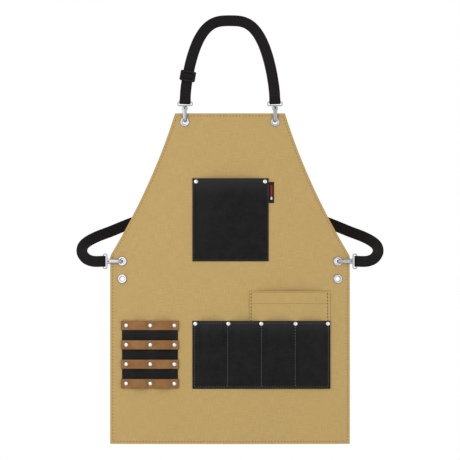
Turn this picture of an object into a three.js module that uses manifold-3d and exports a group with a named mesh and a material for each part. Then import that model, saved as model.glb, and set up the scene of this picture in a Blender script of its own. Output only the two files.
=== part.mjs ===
// Barber apron: a canvas bib apron with leather pockets, a leather tool holder and clip-on webbing straps,
// in the shape it takes when worn. Millimetres, +Z up, and the apron's front faces -Y.
// The origin is on the inner face of the neck strap, at the nape, where the apron hangs.

import * as THREE from "three";
import { mergeVertices } from "three/addons/utils/BufferGeometryUtils.js";
import Module from "manifold-3d";

const { clamp, lerp, smoothstep } = THREE.MathUtils;
const wasm = await Module();
wasm.setup();

// Driving dimensions
const APRON = { width: 580, height: 800, bibWidth: 266, armholeDrop: 345, armholeBow: 12.5, topZ: -226 };
const WORN = { frontY: -150, wrapDepth: 42, bibLean: 6 };
const THICK = { canvas: 1.6, leather: 1.8, webbing: 1.6, tag: 1 };
const GAP = 0.4;
const MERGE_DISTANCE = 1e-3;
const CUT_OVERRUN = 1;
const HEM = { width: 9, step: 0.6, extra: 1.4 };
const BELLY_POWER = 2.6;

const CHEST = { left: -91, right: 93.5, bottom: -584, top: -383, margin: 15, bulge: 10 };
const TAG = { reach: 13, top: -392, bottom: -443 };
const HIP = { left: 47, right: 243, bottom: -880, top: -656, margin: 14, bulge: 8.5, ramp: 13, rampEnd: 1 };
const TOOLS = { left: -91, right: 243, bottom: -892.5, top: -728, margin: 7, edge: 7, bulge: 11 };
const TOOL_DIVIDERS = [-6, 76, 158];
const TOOL_RIVETS = { z: -735, x: [-83.5, -4, 76, 158, 235.5] };
const HOLDER = { left: -264, right: -124, top: -728, strap: 22.5, pitch: 46.9, straps: 4 };
const HOLDER_RIVETS = { left: -249.8, right: -133.8, columns: 3 };
const HOLDER_PANEL = { left: -261.5, right: -126, inset: 5 };
const HOLDER_LOOP = { margin: 7, bulge: 9 };

const RIVET = { cap: 5.2, dome: 2.3, shoulder: 0.75, back: 4.2, backHeight: 1.2, shank: 1.5, sides: 7 };
const RIVET_HOLE = { radius: 2.8, sides: 4 };
const RIVET_INSET = { x: 9, z: 8 };
const EYELET = { hole: 6, tube: 6.8, front: 11.5, back: 10.5, crest: 1.7, lip: 1, washer: 0.7, sides: 10 };
const NECK_EYELET = { x: 109, z: -246.6 };
const WAIST_EYELET = { x: 260.5, z: -584, spareZ: -626.5 };

// Snap hook, measured from the eyelet's middle: Z along the hook, Y back through the cloth
const CLIP = {
  swivelY: 2,
  spineY: -6.3,
  gateY: 11,
  wire: 4.2,
  wireWidth: 8,
  lowZ: 0.6,
  tipZ: 11.4,
  straight: 8,
  barrel: 5.8,
  barrelLowZ: 32.4,
  barrelTopZ: 36.4,
  pivotZ: 32.2,
  shoulder: 11,
  shoulderY: 1,
  pinHead: 1.9,
  pinHeadZ: 33.4,
};
const SPINE_OUTLINE = [
  { z: 8, half: 4 },
  { z: 18, half: 4.9 },
  { z: 28, half: 5 },
  { z: 31, half: 7 },
  { z: 36.4, half: 6.6 },
];
const SWIVEL = { post: 2, bore: 2.8, head: 3.3, headHeight: 1.4, counterbore: 3.8 };
const HUB = { radius: 5, height: 1.8, seat: 0.8 };
const GATE = { width: 6.4, thickness: 3, knuckle: 2.3, pin: 1, pinHole: 1.6 };
const EAR = { width: 2, space: 7.4, drop: 0.6, frontY: 4 };
const THUMB_PAD = { width: 5.6, drop: 9, height: 6, lift: 1.2 };
const LOOP = { width: 38, height: 12, bar: 2.6, bevel: 0.6, corner: 4.4, innerCorner: 1.6 };

const STRAP = { width: 26.6, turn: 5.2, lap: 1.05, lapStart: 12, ease: 12, step: 22 };
const NECK_STRAP = { risePower: 1.5, archPower: 0.33, leanPower: 1.7, points: 24, settle: 60, tail: 42 };
const SLIDER = { distance: 66.4, width: 38, height: 28, thickness: 3, bar: 4, slot: 27.4, clear: 2.9 };
const SLIDER_EDGE = { corner: 4, bevel: 0.5, slotCorner: 1.5, tailReach: 3 };

// Half of the waist strap's way round the wearer, from the hook to the middle of the back
const WAIST_STRAP = { tail: 24, turnEnd: 150, turnStep: 9.5, backStep: 38 };
const WAIST_ROUTE = [
  { x: 331, y: -95.6, z: -584 },
  { x: 347, y: -86, z: -578.5 },
  { x: 357, y: -72, z: -567 },
  { x: 359, y: -55, z: -555.5 },
  { x: 354.5, y: -38, z: -544.5 },
  { x: 342.5, y: -20, z: -534.5 },
  { x: 322, y: 2, z: -524 },
  { x: 290, y: 31, z: -511.7 },
  { x: 244, y: 62, z: -493 },
  { x: 185, y: 84, z: -472.5 },
  { x: 122, y: 97, z: -459 },
  { x: 60, y: 103, z: -452 },
];
const WAIST_BACK = { x: 0, y: 104, z: -450 };

// Soft folds that open toward the lower hem; a positive depth goes back
const FOLD_TOP_Z = -866;
const SKIRT_FOLDS = [
  { x: -238, reach: 62, depth: -6 },
  { x: -118, reach: 74, depth: 7 },
  { x: 4, reach: 78, depth: -7 },
  { x: 126, reach: 72, depth: 7 },
  { x: 236, reach: 60, depth: -6 },
];

// Grid points along the sheets
const GRID = {
  bodyColumns: 15,
  foldRows: 5,
  skirtRows: 4,
  bibRows: 7,
  chestColumns: 9,
  chestRows: 6,
  toolColumns: 5,
  toolRows: 4,
  hipRows: 3,
  rampColumns: 3,
  holderColumns: 6,
  tagRows: 3,
  turnPoints: 7,
};
const GRID_CLEAR = { ramp: 3, hipBottom: 4 };
const HOOK_GRID = { bendPoints: 9, steps: 10, curveSegments: 3 };
const ROUND_SIDES = { hub: 8, post: 6, barrel: 10, pinHead: 8, knuckle: 8, pin: 6 };

const CANVAS = new THREE.MeshStandardMaterial({ color: 0xbea268, roughness: 0.9, metalness: 0 });
const LEATHER = new THREE.MeshStandardMaterial({ color: 0x222222, roughness: 0.55, metalness: 0 });
const BROWN_LEATHER = new THREE.MeshStandardMaterial({ color: 0x966e48, roughness: 0.55, metalness: 0 });
const WEBBING = new THREE.MeshStandardMaterial({ color: 0x231f20, roughness: 0.85, metalness: 0 });
const STEEL = new THREE.MeshStandardMaterial({ color: 0xd8d8d6, roughness: 0.25, metalness: 1 });
const PLASTIC = new THREE.MeshStandardMaterial({ color: 0x1b1b1b, roughness: 0.45, metalness: 0 });

// Sizes worked out from the ones above
const halfWidth = APRON.width / 2;
const hemZ = APRON.topZ - APRON.height;
const waistZ = APRON.topZ - APRON.armholeDrop;
const loopLowZ = CLIP.barrelTopZ + GAP + HUB.height - HUB.seat;
const barZ = loopLowZ + LOOP.height - LOOP.bar / 2;

const apron = new THREE.Group();
apron.name = "barber_apron";

function addPiece(parent, name, geometry, material) {
  const piece = new THREE.Mesh(geometry, material);
  piece.name = name;
  parent.add(piece);
  return piece;
}

// Evenly spaced numbers, both ends included
function spread(from, to, count) {
  return Array.from({ length: count }, (_, i) => lerp(from, to, i / (count - 1)));
}

// A closed geometry as a solid that can be joined and cut
function toSolid(geometry) {
  const bare = new THREE.BufferGeometry();
  bare.setAttribute("position", geometry.getAttribute("position"));
  bare.setIndex(geometry.getIndex());
  const merged = mergeVertices(bare, MERGE_DISTANCE);
  return new wasm.Manifold(
    new wasm.Mesh({
      numProp: 3,
      vertProperties: Float32Array.from(merged.getAttribute("position").array),
      triVerts: Uint32Array.from(merged.getIndex().array),
    }),
  );
}

function toGeometry(solid) {
  const mesh = solid.getMesh();
  const geometry = new THREE.BufferGeometry();
  geometry.setAttribute("position", new THREE.BufferAttribute(mesh.vertProperties, 3));
  geometry.setIndex(new THREE.BufferAttribute(mesh.triVerts, 1));
  geometry.computeVertexNormals();
  return geometry;
}

// The geometries in joins as one body, with the geometries in cuts taken out of it
function combine(joins, cuts = []) {
  let solid = toSolid(joins[0]);
  for (const geometry of joins.slice(1)) solid = solid.add(toSolid(geometry));
  for (const geometry of cuts) solid = solid.subtract(toSolid(geometry));
  return toGeometry(solid);
}

// A closed sheet from two grids of points. Columns run along +X and rows along +Z on a face toward -Y.
function sheet(columns, rows, front, back) {
  const positions = [];
  for (const face of [front, back]) {
    for (const row of rows) {
      for (const column of columns) positions.push(...face(column, row));
    }
  }
  const wide = columns.length;
  const tall = rows.length;
  const layer = wide * tall;
  const triangles = [];
  const quad = (a, b, c, d) => triangles.push(a, b, c, a, c, d);
  for (let r = 0; r + 1 < tall; r++) {
    for (let c = 0; c + 1 < wide; c++) {
      const a = r * wide + c;
      const above = a + wide;
      quad(a, a + 1, above + 1, above);
      quad(layer + a, layer + above, layer + above + 1, layer + a + 1);
    }
  }
  const rim = [];
  for (let c = 0; c + 1 < wide; c++) rim.push(c);
  for (let r = 0; r + 1 < tall; r++) rim.push(r * wide + wide - 1);
  for (let c = wide - 1; c > 0; c--) rim.push((tall - 1) * wide + c);
  for (let r = tall - 1; r > 0; r--) rim.push(r * wide);
  rim.forEach((here, i) => {
    const next = rim[(i + 1) % rim.length];
    quad(here, layer + here, layer + next, next);
  });
  const geometry = new THREE.BufferGeometry();
  geometry.setAttribute("position", new THREE.Float32BufferAttribute(positions, 3));
  geometry.setIndex(triangles);
  geometry.computeVertexNormals();
  return geometry;
}

// Half of the canvas width at a height
function edgeX(z) {
  const up = clamp((z - waistZ) / APRON.armholeDrop, 0, 1);
  return lerp(halfWidth, APRON.bibWidth / 2, up) - 4 * APRON.armholeBow * up * (1 - up);
}

// Depth of the middle of the canvas at a place seen from the front
function canvasY(x, z) {
  const wrap = WORN.wrapDepth * (x / halfWidth) ** 2;
  const lean = WORN.bibLean * smoothstep(z, waistZ, APRON.topZ);
  const opening = 1 - smoothstep(z, hemZ, FOLD_TOP_Z);
  let folds = 0;
  for (const fold of SKIRT_FOLDS) {
    const away = Math.min(Math.abs(x - fold.x) / fold.reach, 1);
    folds += (fold.depth * (1 + Math.cos(Math.PI * away))) / 2;
  }
  return WORN.frontY + wrap + lean + folds * opening;
}

// A group on a sheet of the given depth: X along the sheet, Y back through it, Z up it
function standOn(x, z, depth = canvasY) {
  const step = 2;
  const right = new THREE.Vector3(2 * step, depth(x + step, z) - depth(x - step, z), 0).normalize();
  const up = new THREE.Vector3(0, depth(x, z + step) - depth(x, z - step), 2 * step);
  const back = new THREE.Vector3().crossVectors(up, right).normalize();
  const squareUp = new THREE.Vector3().crossVectors(right, back);
  const group = new THREE.Group();
  group.quaternion.setFromRotationMatrix(new THREE.Matrix4().makeBasis(right, back, squareUp));
  group.position.set(x, depth(x, z), z);
  group.updateMatrix();
  apron.add(group);
  return group;
}

// A piece lying on the front of the canvas; rear(x, z) is the space between its rear face and the canvas
function patch(columns, rows, thickness, rear) {
  const face = (lift) => (x, z) => [x, canvasY(x, z) - THICK.canvas / 2 - rear(x, z) - lift, z];
  return sheet(columns, rows, face(thickness), face(0));
}

// How far a sewn-down piece stands open: 0 within the margin at both ends, 1 in the middle
function belly(at, start, end, margin) {
  const share = clamp((at - start - margin) / (end - start - 2 * margin), 0, 1);
  return 1 - Math.abs(2 * share - 1) ** BELLY_POWER;
}

// How far a pocket stands open on the way up from its sewn bottom edge to its mouth
function mouth(z, pocket) {
  const sewnTop = pocket.bottom + pocket.margin;
  const share = clamp((z - sewnTop) / (pocket.top - sewnTop), 0, 1);
  return 1 - (1 - share) ** 2;
}

// A straight hole through the sheets at a place on one of them
function drill(place, radius, sides) {
  const length = 60;
  const stand = standOn(place.x, place.z, place.depth);
  apron.remove(stand);
  return new THREE.CylinderGeometry(radius, radius, length, sides).applyMatrix4(stand.matrix);
}

const rivetHole = (rivet) => drill(rivet, RIVET_HOLE.radius, RIVET_HOLE.sides);
const eyeletHole = (eyelet) => drill(eyelet, EYELET.tube + 2 * GAP, EYELET.sides);

// Spaces between the pieces and the canvas
const chestRear = (x, z) =>
  GAP + CHEST.bulge * belly(x, CHEST.left, CHEST.right, CHEST.margin) * mouth(z, CHEST);
const hipRear = (x, z) => GAP + HIP.bulge * belly(x, HIP.left, HIP.right, HIP.margin) * mouth(z, HIP);
const hipY = (x, z) => canvasY(x, z) - THICK.canvas - hipRear(x, z);
const toolEdges = [TOOLS.left + TOOLS.edge, ...TOOL_DIVIDERS, TOOLS.right - TOOLS.edge];
function toolRear(x, z) {
  const overHip = smoothstep(x, HIP.left - HIP.ramp, HIP.left - HIP.rampEnd);
  const seat = GAP + overHip * (hipRear(x, z) + THICK.canvas);
  let open = 0;
  for (let i = 0; i + 1 < toolEdges.length; i++) {
    open += belly(x, toolEdges[i], toolEdges[i + 1], TOOLS.margin);
  }
  return seat + TOOLS.bulge * open * mouth(z, TOOLS);
}
const panelRear = () => GAP;
const holderRivetX = spread(HOLDER_RIVETS.left, HOLDER_RIVETS.right, HOLDER_RIVETS.columns);
function strapRear(x) {
  const [outer, middle, inner] = holderRivetX;
  const open = belly(x, outer, middle, HOLDER_LOOP.margin) + belly(x, middle, inner, HOLDER_LOOP.margin);
  return 2 * GAP + THICK.leather + HOLDER_LOOP.bulge * open;
}

// Rivets: the height of the outer face they clamp, over the middle of the rearmost canvas they go through
const canvasFront = THICK.canvas / 2;
const chestRivets = [CHEST.left + RIVET_INSET.x, CHEST.right - RIVET_INSET.x].map((x, i) => {
  const z = CHEST.top - RIVET_INSET.z;
  return { name: `chest_rivet_${i + 1}`, x, z, front: canvasFront + chestRear(x, z) + THICK.leather };
});
const pocketRivets = TOOL_RIVETS.x.map((x, i) => {
  const { z } = TOOL_RIVETS;
  const onHip = x > HIP.left;
  const onBody = !onHip || x > HIP.right - HIP.margin;
  const rear = onBody ? toolRear(x, z) : GAP;
  const front = canvasFront + rear + THICK.leather;
  return { name: `pocket_rivet_${i + 1}`, x, z, front, depth: onBody ? canvasY : hipY, onHip, onBody };
});
const holderStraps = Array.from({ length: HOLDER.straps }, (_, i) => {
  const top = HOLDER.top - i * HOLDER.pitch;
  return { name: `holder_strap_${i + 1}`, top, bottom: top - HOLDER.strap, middle: top - HOLDER.strap / 2 };
});
const holderRivets = holderStraps.flatMap((strap, row) =>
  holderRivetX.map((x, column) => {
    const front = canvasFront + strapRear(x) + THICK.leather;
    return { name: `holder_rivet_${row + 1}_${column + 1}`, x, z: strap.middle, front };
  }),
);
const rivets = [...chestRivets, ...pocketRivets, ...holderRivets];

const eyelets = [];
for (const [side, sign] of [["left", -1], ["right", 1]]) {
  eyelets.push({ name: `neck_eyelet_${side}`, x: sign * NECK_EYELET.x, z: NECK_EYELET.z });
  eyelets.push({ name: `waist_eyelet_${side}`, x: sign * WAIST_EYELET.x, z: WAIST_EYELET.z });
  eyelets.push({ name: `spare_eyelet_${side}`, x: sign * WAIST_EYELET.x, z: WAIST_EYELET.spareZ });
}

// Apron body
function makeBody() {
  const inner = spread(-1, 1, GRID.bodyColumns).map((share) => ({ share, grow: 0 }));
  const rimColumns = (sign) => [HEM.step, HEM.width].map((grow) => ({ share: sign, grow: sign * grow }));
  const columns = [...rimColumns(-1).reverse(), ...inner, ...rimColumns(1)];
  const rows = [
    hemZ,
    hemZ + HEM.width - HEM.step,
    ...spread(hemZ + HEM.width, FOLD_TOP_Z, GRID.foldRows),
    ...spread(FOLD_TOP_Z, waistZ, GRID.skirtRows).slice(1),
    ...spread(waistZ, APRON.topZ - HEM.width, GRID.bibRows).slice(1),
    APRON.topZ - HEM.width + HEM.step,
    APRON.topZ,
  ];
  const bodyX = (column, z) => column.share * (edgeX(z) - HEM.width) + column.grow;
  const inHem = (column, z) => column.grow !== 0 || z < rows[2] || z > rows.at(-3);
  const front = (column, z) => {
    const x = bodyX(column, z);
    return [x, canvasY(x, z) - THICK.canvas / 2, z];
  };
  const back = (column, z) => {
    const x = bodyX(column, z);
    return [x, canvasY(x, z) + THICK.canvas / 2 + (inHem(column, z) ? HEM.extra : 0), z];
  };
  const throughBody = rivets.filter((rivet) => rivet.onBody !== false);
  const holes = [...eyelets.map(eyeletHole), ...throughBody.map(rivetHole)];
  return combine([sheet(columns, rows, front, back)], holes);
}
addPiece(apron, "apron_body", makeBody(), CANVAS);

// Chest pocket and its tag
const sewnSpan = (start, end, margin, count) => [start, ...spread(start + margin, end - margin, count), end];
const chestSheet = patch(
  sewnSpan(CHEST.left, CHEST.right, CHEST.margin, GRID.chestColumns),
  [CHEST.bottom, ...spread(CHEST.bottom + CHEST.margin, CHEST.top, GRID.chestRows)],
  THICK.leather,
  chestRear,
);
addPiece(apron, "chest_pocket", combine([chestSheet], chestRivets.map(rivetHole)), LEATHER);
const tagColumns = [CHEST.right + GAP, CHEST.right + TAG.reach];
const tagRows = spread(TAG.bottom, TAG.top, GRID.tagRows);
addPiece(apron, "side_tag", patch(tagColumns, tagRows, THICK.tag, panelRear), WEBBING);

// Hip pocket and the tool pocket over it, on shared columns and rows where they meet
const toolColumns = toolEdges.slice(1).flatMap((end, i) => {
  return sewnSpan(toolEdges[i], end, TOOLS.margin, GRID.toolColumns);
});
const uniqueToolColumns = [...new Set([TOOLS.left, ...toolColumns, TOOLS.right])];
const toolRows = [TOOLS.bottom, ...spread(TOOLS.bottom + TOOLS.margin, TOOLS.top, GRID.toolRows)];
const rampColumns = spread(HIP.left - HIP.ramp, HIP.left, GRID.rampColumns);
const nearRamp = (x) => x > rampColumns[0] - GRID_CLEAR.ramp && x < HIP.left + GRID_CLEAR.ramp;
const pocketColumns = [...uniqueToolColumns.filter((x) => !nearRamp(x)), ...rampColumns];
pocketColumns.sort((a, b) => a - b);
const toolSheet = patch(pocketColumns, toolRows, THICK.leather, toolRear);
addPiece(apron, "tool_pocket", combine([toolSheet], pocketRivets.map(rivetHole)), LEATHER);
const hipColumns = pocketColumns.filter((x) => x >= HIP.left);
const hipTopRows = spread(TOOLS.top, HIP.top, GRID.hipRows).slice(1);
const hipRows = [HIP.bottom, ...toolRows.filter((z) => z > HIP.bottom + GRID_CLEAR.hipBottom), ...hipTopRows];
const hipSheet = patch(hipColumns, hipRows, THICK.canvas, hipRear);
const hipHoles = pocketRivets.filter((rivet) => rivet.onHip).map(rivetHole);
addPiece(apron, "hip_pocket", combine([hipSheet], hipHoles), CANVAS);

// Tool holder
const panelBottom = holderStraps.at(-1).bottom + HOLDER_PANEL.inset;
const panelRows = [panelBottom, HOLDER.top - HOLDER_PANEL.inset];
const panelColumns = spread(HOLDER_PANEL.left, HOLDER_PANEL.right, GRID.holderColumns);
const panelSheet = patch(panelColumns, panelRows, THICK.leather, panelRear);
addPiece(apron, "holder_panel", combine([panelSheet], holderRivets.map(rivetHole)), LEATHER);
const [outerRivetX, middleRivetX, innerRivetX] = holderRivetX;
const strapColumns = [
  HOLDER.left,
  ...spread(outerRivetX + HOLDER_LOOP.margin, middleRivetX - HOLDER_LOOP.margin, GRID.holderColumns),
  ...spread(middleRivetX + HOLDER_LOOP.margin, innerRivetX - HOLDER_LOOP.margin, GRID.holderColumns),
  HOLDER.right,
];
for (const strap of holderStraps) {
  const own = holderRivets.filter((rivet) => rivet.z === strap.middle);
  const strapSheet = patch(strapColumns, [strap.bottom, strap.top], THICK.leather, strapRear);
  addPiece(apron, strap.name, combine([strapSheet], own.map(rivetHole)), BROWN_LEATHER);
}

// Rivets: a domed cap in front, a shank through the layers and a flat cap behind
for (const rivet of rivets) {
  const front = -(rivet.front + GAP);
  const back = THICK.canvas / 2 + GAP;
  const profile = [
    [0, front - RIVET.dome],
    [RIVET.cap * RIVET.shoulder, front - RIVET.dome * RIVET.shoulder],
    [RIVET.cap, front],
    [RIVET.shank, front],
    [RIVET.shank, back],
    [RIVET.back, back],
    [0, back + RIVET.backHeight],
  ].map(([radius, y]) => new THREE.Vector2(radius, y));
  const stand = standOn(rivet.x, rivet.z, rivet.depth);
  addPiece(stand, rivet.name, new THREE.LatheGeometry(profile, RIVET.sides), STEEL);
}

// Eyelets: a tube through the canvas with a rolled flange in front and a washer behind
const eyeletFace = canvasFront + GAP;
const eyeletProfile = [
  [EYELET.hole, eyeletFace + EYELET.washer],
  [EYELET.hole, -(eyeletFace + EYELET.lip)],
  [(EYELET.hole + EYELET.front) / 2, -(eyeletFace + EYELET.crest)],
  [EYELET.front, -eyeletFace],
  [EYELET.tube, -eyeletFace],
  [EYELET.tube, eyeletFace],
  [EYELET.back, eyeletFace],
  [EYELET.back, eyeletFace + EYELET.washer],
  [EYELET.hole, eyeletFace + EYELET.washer],
].map(([radius, y]) => new THREE.Vector2(radius, y));
for (const eyelet of eyelets) {
  const geometry = new THREE.LatheGeometry(eyeletProfile, EYELET.sides);
  addPiece(standOn(eyelet.x, eyelet.z), eyelet.name, geometry, STEEL);
}

// Round bar along the hook's Z, between two heights
function postAlongZ(radius, lowZ, topZ, sides) {
  const post = new THREE.CylinderGeometry(radius, radius, topZ - lowZ, sides);
  return post.rotateX(Math.PI / 2).translate(0, CLIP.swivelY, (lowZ + topZ) / 2);
}

// Round pin along the hook's X, through the gate's pivot
function pinAlongX(radius, length, sides) {
  const pin = new THREE.CylinderGeometry(radius, radius, length, sides).rotateZ(Math.PI / 2);
  return pin.translate(0, CLIP.gateY, CLIP.pivotZ);
}

// Box between two heights along the hook's Z
function block(width, backY, frontY, lowZ, topZ, x = 0) {
  const box = new THREE.BoxGeometry(width, backY - frontY, topZ - lowZ);
  return box.translate(x, (backY + frontY) / 2, (lowZ + topZ) / 2);
}

function roundedRectangle(target, width, height, corner, middleY = 0) {
  const x = width / 2 - corner;
  const topY = middleY + height / 2 - corner;
  const lowY = middleY - height / 2 + corner;
  target.absarc(x, topY, corner, 0, Math.PI / 2);
  target.absarc(-x, topY, corner, Math.PI / 2, Math.PI);
  target.absarc(-x, lowY, corner, Math.PI, 1.5 * Math.PI);
  target.absarc(x, lowY, corner, 1.5 * Math.PI, 2 * Math.PI);
  return target;
}

// A flat frame with round-cornered openings, in the XZ plane and centred on it
function frame(outline, openings, thickness, bevel) {
  outline.holes.push(...openings);
  const options = {
    depth: thickness - 2 * bevel,
    bevelThickness: bevel,
    bevelSize: bevel,
    bevelSegments: 1,
    curveSegments: 1,
  };
  const geometry = new THREE.ExtrudeGeometry(outline, options);
  return geometry.translate(0, 0, bevel - thickness / 2).rotateX(Math.PI / 2);
}

// Swivel loop: a bevelled frame for the webbing, with the post that turns in the hook
function makeLoop() {
  const spare = 2 * LOOP.bevel;
  const outer = roundedRectangle(new THREE.Shape(), LOOP.width - spare, LOOP.height - spare, LOOP.corner);
  const [openWidth, openHeight] = [LOOP.width - 2 * LOOP.bar, LOOP.height - 2 * LOOP.bar];
  const opening = roundedRectangle(new THREE.Path(), openWidth + spare, openHeight + spare, LOOP.innerCorner);
  const ring = frame(outer, [opening], LOOP.bar, LOOP.bevel);
  ring.translate(0, CLIP.swivelY, loopLowZ + LOOP.height / 2);
  const headLowZ = CLIP.barrelLowZ + GAP;
  const hubLowZ = CLIP.barrelTopZ + GAP;
  return combine([
    ring,
    postAlongZ(HUB.radius, hubLowZ, hubLowZ + HUB.height, ROUND_SIDES.hub),
    postAlongZ(SWIVEL.post, headLowZ, hubLowZ + HUB.seat, ROUND_SIDES.post),
    postAlongZ(SWIVEL.head, headLowZ, headLowZ + SWIVEL.headHeight, ROUND_SIDES.post),
  ]);
}

// Hook: a barrel for the swivel, a flat spine and a bent end that goes through the eyelet
function makeHook() {
  const bend = (CLIP.gateY - CLIP.spineY) / 2;
  const bendY = (CLIP.gateY + CLIP.spineY) / 2;
  const bendZ = CLIP.lowZ + bend;
  const straightTopZ = bendZ + CLIP.straight;
  const way = [new THREE.Vector3(0, CLIP.spineY, straightTopZ)];
  for (const angle of spread(Math.PI, 2 * Math.PI, HOOK_GRID.bendPoints)) {
    way.push(new THREE.Vector3(0, bendY + bend * Math.cos(angle), bendZ + bend * Math.sin(angle)));
  }
  way.push(new THREE.Vector3(0, CLIP.gateY, CLIP.tipZ));
  const section = new THREE.Shape();
  section.ellipse(0, 0, CLIP.wireWidth / 2, CLIP.wire / 2, 0, 2 * Math.PI);
  const extrudePath = new THREE.CatmullRomCurve3(way);
  const { steps, curveSegments } = HOOK_GRID;
  const bentEnd = new THREE.ExtrudeGeometry(section, { steps, curveSegments, extrudePath });
  const rightSide = SPINE_OUTLINE.map((row) => new THREE.Vector2(row.half, row.z));
  const leftSide = SPINE_OUTLINE.map((row) => new THREE.Vector2(-row.half, row.z)).reverse();
  const spineShape = new THREE.Shape([...rightSide, ...leftSide]);
  const spine = new THREE.ExtrudeGeometry(spineShape, { depth: CLIP.wire, bevelEnabled: false });
  spine.rotateX(Math.PI / 2).translate(0, CLIP.spineY + CLIP.wire / 2, 0);
  const [lowZ, topZ] = [CLIP.barrelLowZ, CLIP.barrelTopZ];
  const counterboreTopZ = lowZ + SWIVEL.headHeight + 2 * GAP;
  const shoulder = block(CLIP.shoulder, CLIP.shoulderY, CLIP.spineY, lowZ, topZ);
  const earX = (EAR.space + EAR.width) / 2;
  const earReach = CLIP.gateY + GATE.knuckle;
  const ears = [-earX, earX].map((x) => {
    return block(EAR.width, earReach, EAR.frontY, CLIP.pivotZ - GATE.knuckle, topZ - EAR.drop, x);
  });
  const pinHead = new THREE.CylinderGeometry(CLIP.pinHead, CLIP.pinHead, CLIP.pinHead, ROUND_SIDES.pinHead);
  pinHead.translate(0, CLIP.spineY - CLIP.wire / 2, CLIP.pinHeadZ);
  return combine(
    [postAlongZ(CLIP.barrel, lowZ, topZ, ROUND_SIDES.barrel), spine, bentEnd, shoulder, ...ears, pinHead],
    [
      postAlongZ(SWIVEL.bore, lowZ - CUT_OVERRUN, topZ + CUT_OVERRUN, ROUND_SIDES.post),
      postAlongZ(SWIVEL.counterbore, lowZ - CUT_OVERRUN, counterboreTopZ, ROUND_SIDES.post),
      pinAlongX(GATE.pinHole, 2 * earX + 2 * EAR.width, ROUND_SIDES.pin),
    ],
  );
}

// Gate: a sprung bar that shuts the hook's mouth, with a thumb pad, turning on a pin in the hook's ears
function makeGate() {
  const frontY = CLIP.gateY - GATE.thickness / 2;
  const backY = CLIP.gateY + GATE.thickness / 2;
  const padZ = CLIP.pivotZ - THUMB_PAD.drop;
  return combine([
    pinAlongX(GATE.knuckle, GATE.width, ROUND_SIDES.knuckle),
    pinAlongX(GATE.pin, EAR.space + 2 * EAR.width, ROUND_SIDES.pin),
    block(GATE.width, backY, frontY, CLIP.tipZ + GAP, CLIP.pivotZ),
    block(THUMB_PAD.width, backY + THUMB_PAD.lift, CLIP.gateY, padZ - THUMB_PAD.height, padZ),
  ]);
}

const loopGeometry = makeLoop();
const hookGeometry = makeHook();
const gateGeometry = makeGate();
function addClip(name, x, z, turn) {
  const clip = standOn(x, z);
  clip.name = `${name}_clip`;
  clip.rotateY(turn);
  clip.updateMatrix();
  addPiece(clip, `${name}_loop`, loopGeometry, STEEL);
  addPiece(clip, `${name}_hook`, hookGeometry, STEEL);
  addPiece(clip, `${name}_gate`, gateGeometry, STEEL);
  return new THREE.Vector3(0, CLIP.swivelY, barZ).applyMatrix4(clip.matrix);
}
const neckBars = [-1, 1].map((sign) => {
  return addClip(sign < 0 ? "neck_left" : "neck_right", sign * NECK_EYELET.x, NECK_EYELET.z, 0);
});
const waistBars = [-1, 1].map((sign) => {
  const name = sign < 0 ? "waist_left" : "waist_right";
  return addClip(name, sign * WAIST_EYELET.x, WAIST_EYELET.z, (sign * Math.PI) / 2);
});

// Webbing along a line from bar to bar. Each end goes round its bar and comes back as a tail behind it.
// The tables hold a distance from the line's start and the offset there toward the front face.
function webbing(frameAt, length, startTail, main, endTail) {
  const stations = [];
  const addRun = (rows, facing) => {
    for (const row of rows) {
      const { point, across, out } = frameAt(row.distance);
      point.addScaledVector(out, row.offset);
      stations.push({ point, across, out: out.clone().multiplyScalar(facing) });
    }
  };
  const addTurn = (distance, toBar, from) => {
    const { point, along, across, out } = frameAt(distance);
    for (const angle of spread(0, Math.PI, GRID.turnPoints).slice(1, -1)) {
      const outward = out.clone().multiplyScalar(from * Math.cos(angle));
      outward.addScaledVector(along, toBar * Math.sin(angle));
      stations.push({ point: point.clone().addScaledVector(outward, STRAP.turn), across, out: outward });
    }
  };
  addRun(startTail, -1);
  addTurn(0, -1, -1);
  addRun(main, 1);
  addTurn(length, 1, 1);
  addRun(endTail, -1);
  const face = (side) => (column, station) => {
    const corner = station.point.clone().addScaledVector(station.across, (column * STRAP.width) / 2);
    return corner.addScaledVector(station.out, (side * THICK.webbing) / 2).toArray();
  };
  return sheet([-1, 1], stations, face(1), face(-1));
}

// The table's own rows, with evenly stepped rows between them
function fillIn(rows, stepAt = () => STRAP.step) {
  const filled = [rows[0]];
  for (let i = 1; i < rows.length; i++) {
    const [low, high] = [rows[i - 1], rows[i]];
    const step = stepAt((low.distance + high.distance) / 2);
    const count = Math.ceil(Math.abs(high.distance - low.distance) / step) + 1;
    for (const share of spread(0, 1, Math.max(count, 2)).slice(1)) {
      const distance = lerp(low.distance, high.distance, share);
      filled.push({ distance, offset: lerp(low.offset, high.offset, share) });
    }
  }
  return filled;
}

const endLap = (length, tail, side) => [
  { distance: length - tail - STRAP.ease, offset: 0 },
  { distance: length - tail, offset: side * STRAP.lap },
  { distance: length - STRAP.lapStart, offset: side * STRAP.lap },
  { distance: length, offset: side * STRAP.turn },
];
const flipEnd = (rows, length) => {
  return rows.map(({ distance, offset }) => ({ distance: length - distance, offset })).reverse();
};

// Place and directions on a strap's line: along it, across the webbing and out of its front face.
// The face looks to the front all the way, apart from the skew.
function strapFrame(line, length, distance, skew) {
  const point = line.getPointAt(distance / length);
  const along = line.getTangentAt(distance / length);
  const across = new THREE.Vector3(along.z, skew, -along.x);
  across.addScaledVector(along, -across.dot(along)).normalize();
  return { point, along, across, out: new THREE.Vector3().crossVectors(across, along) };
}

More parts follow.
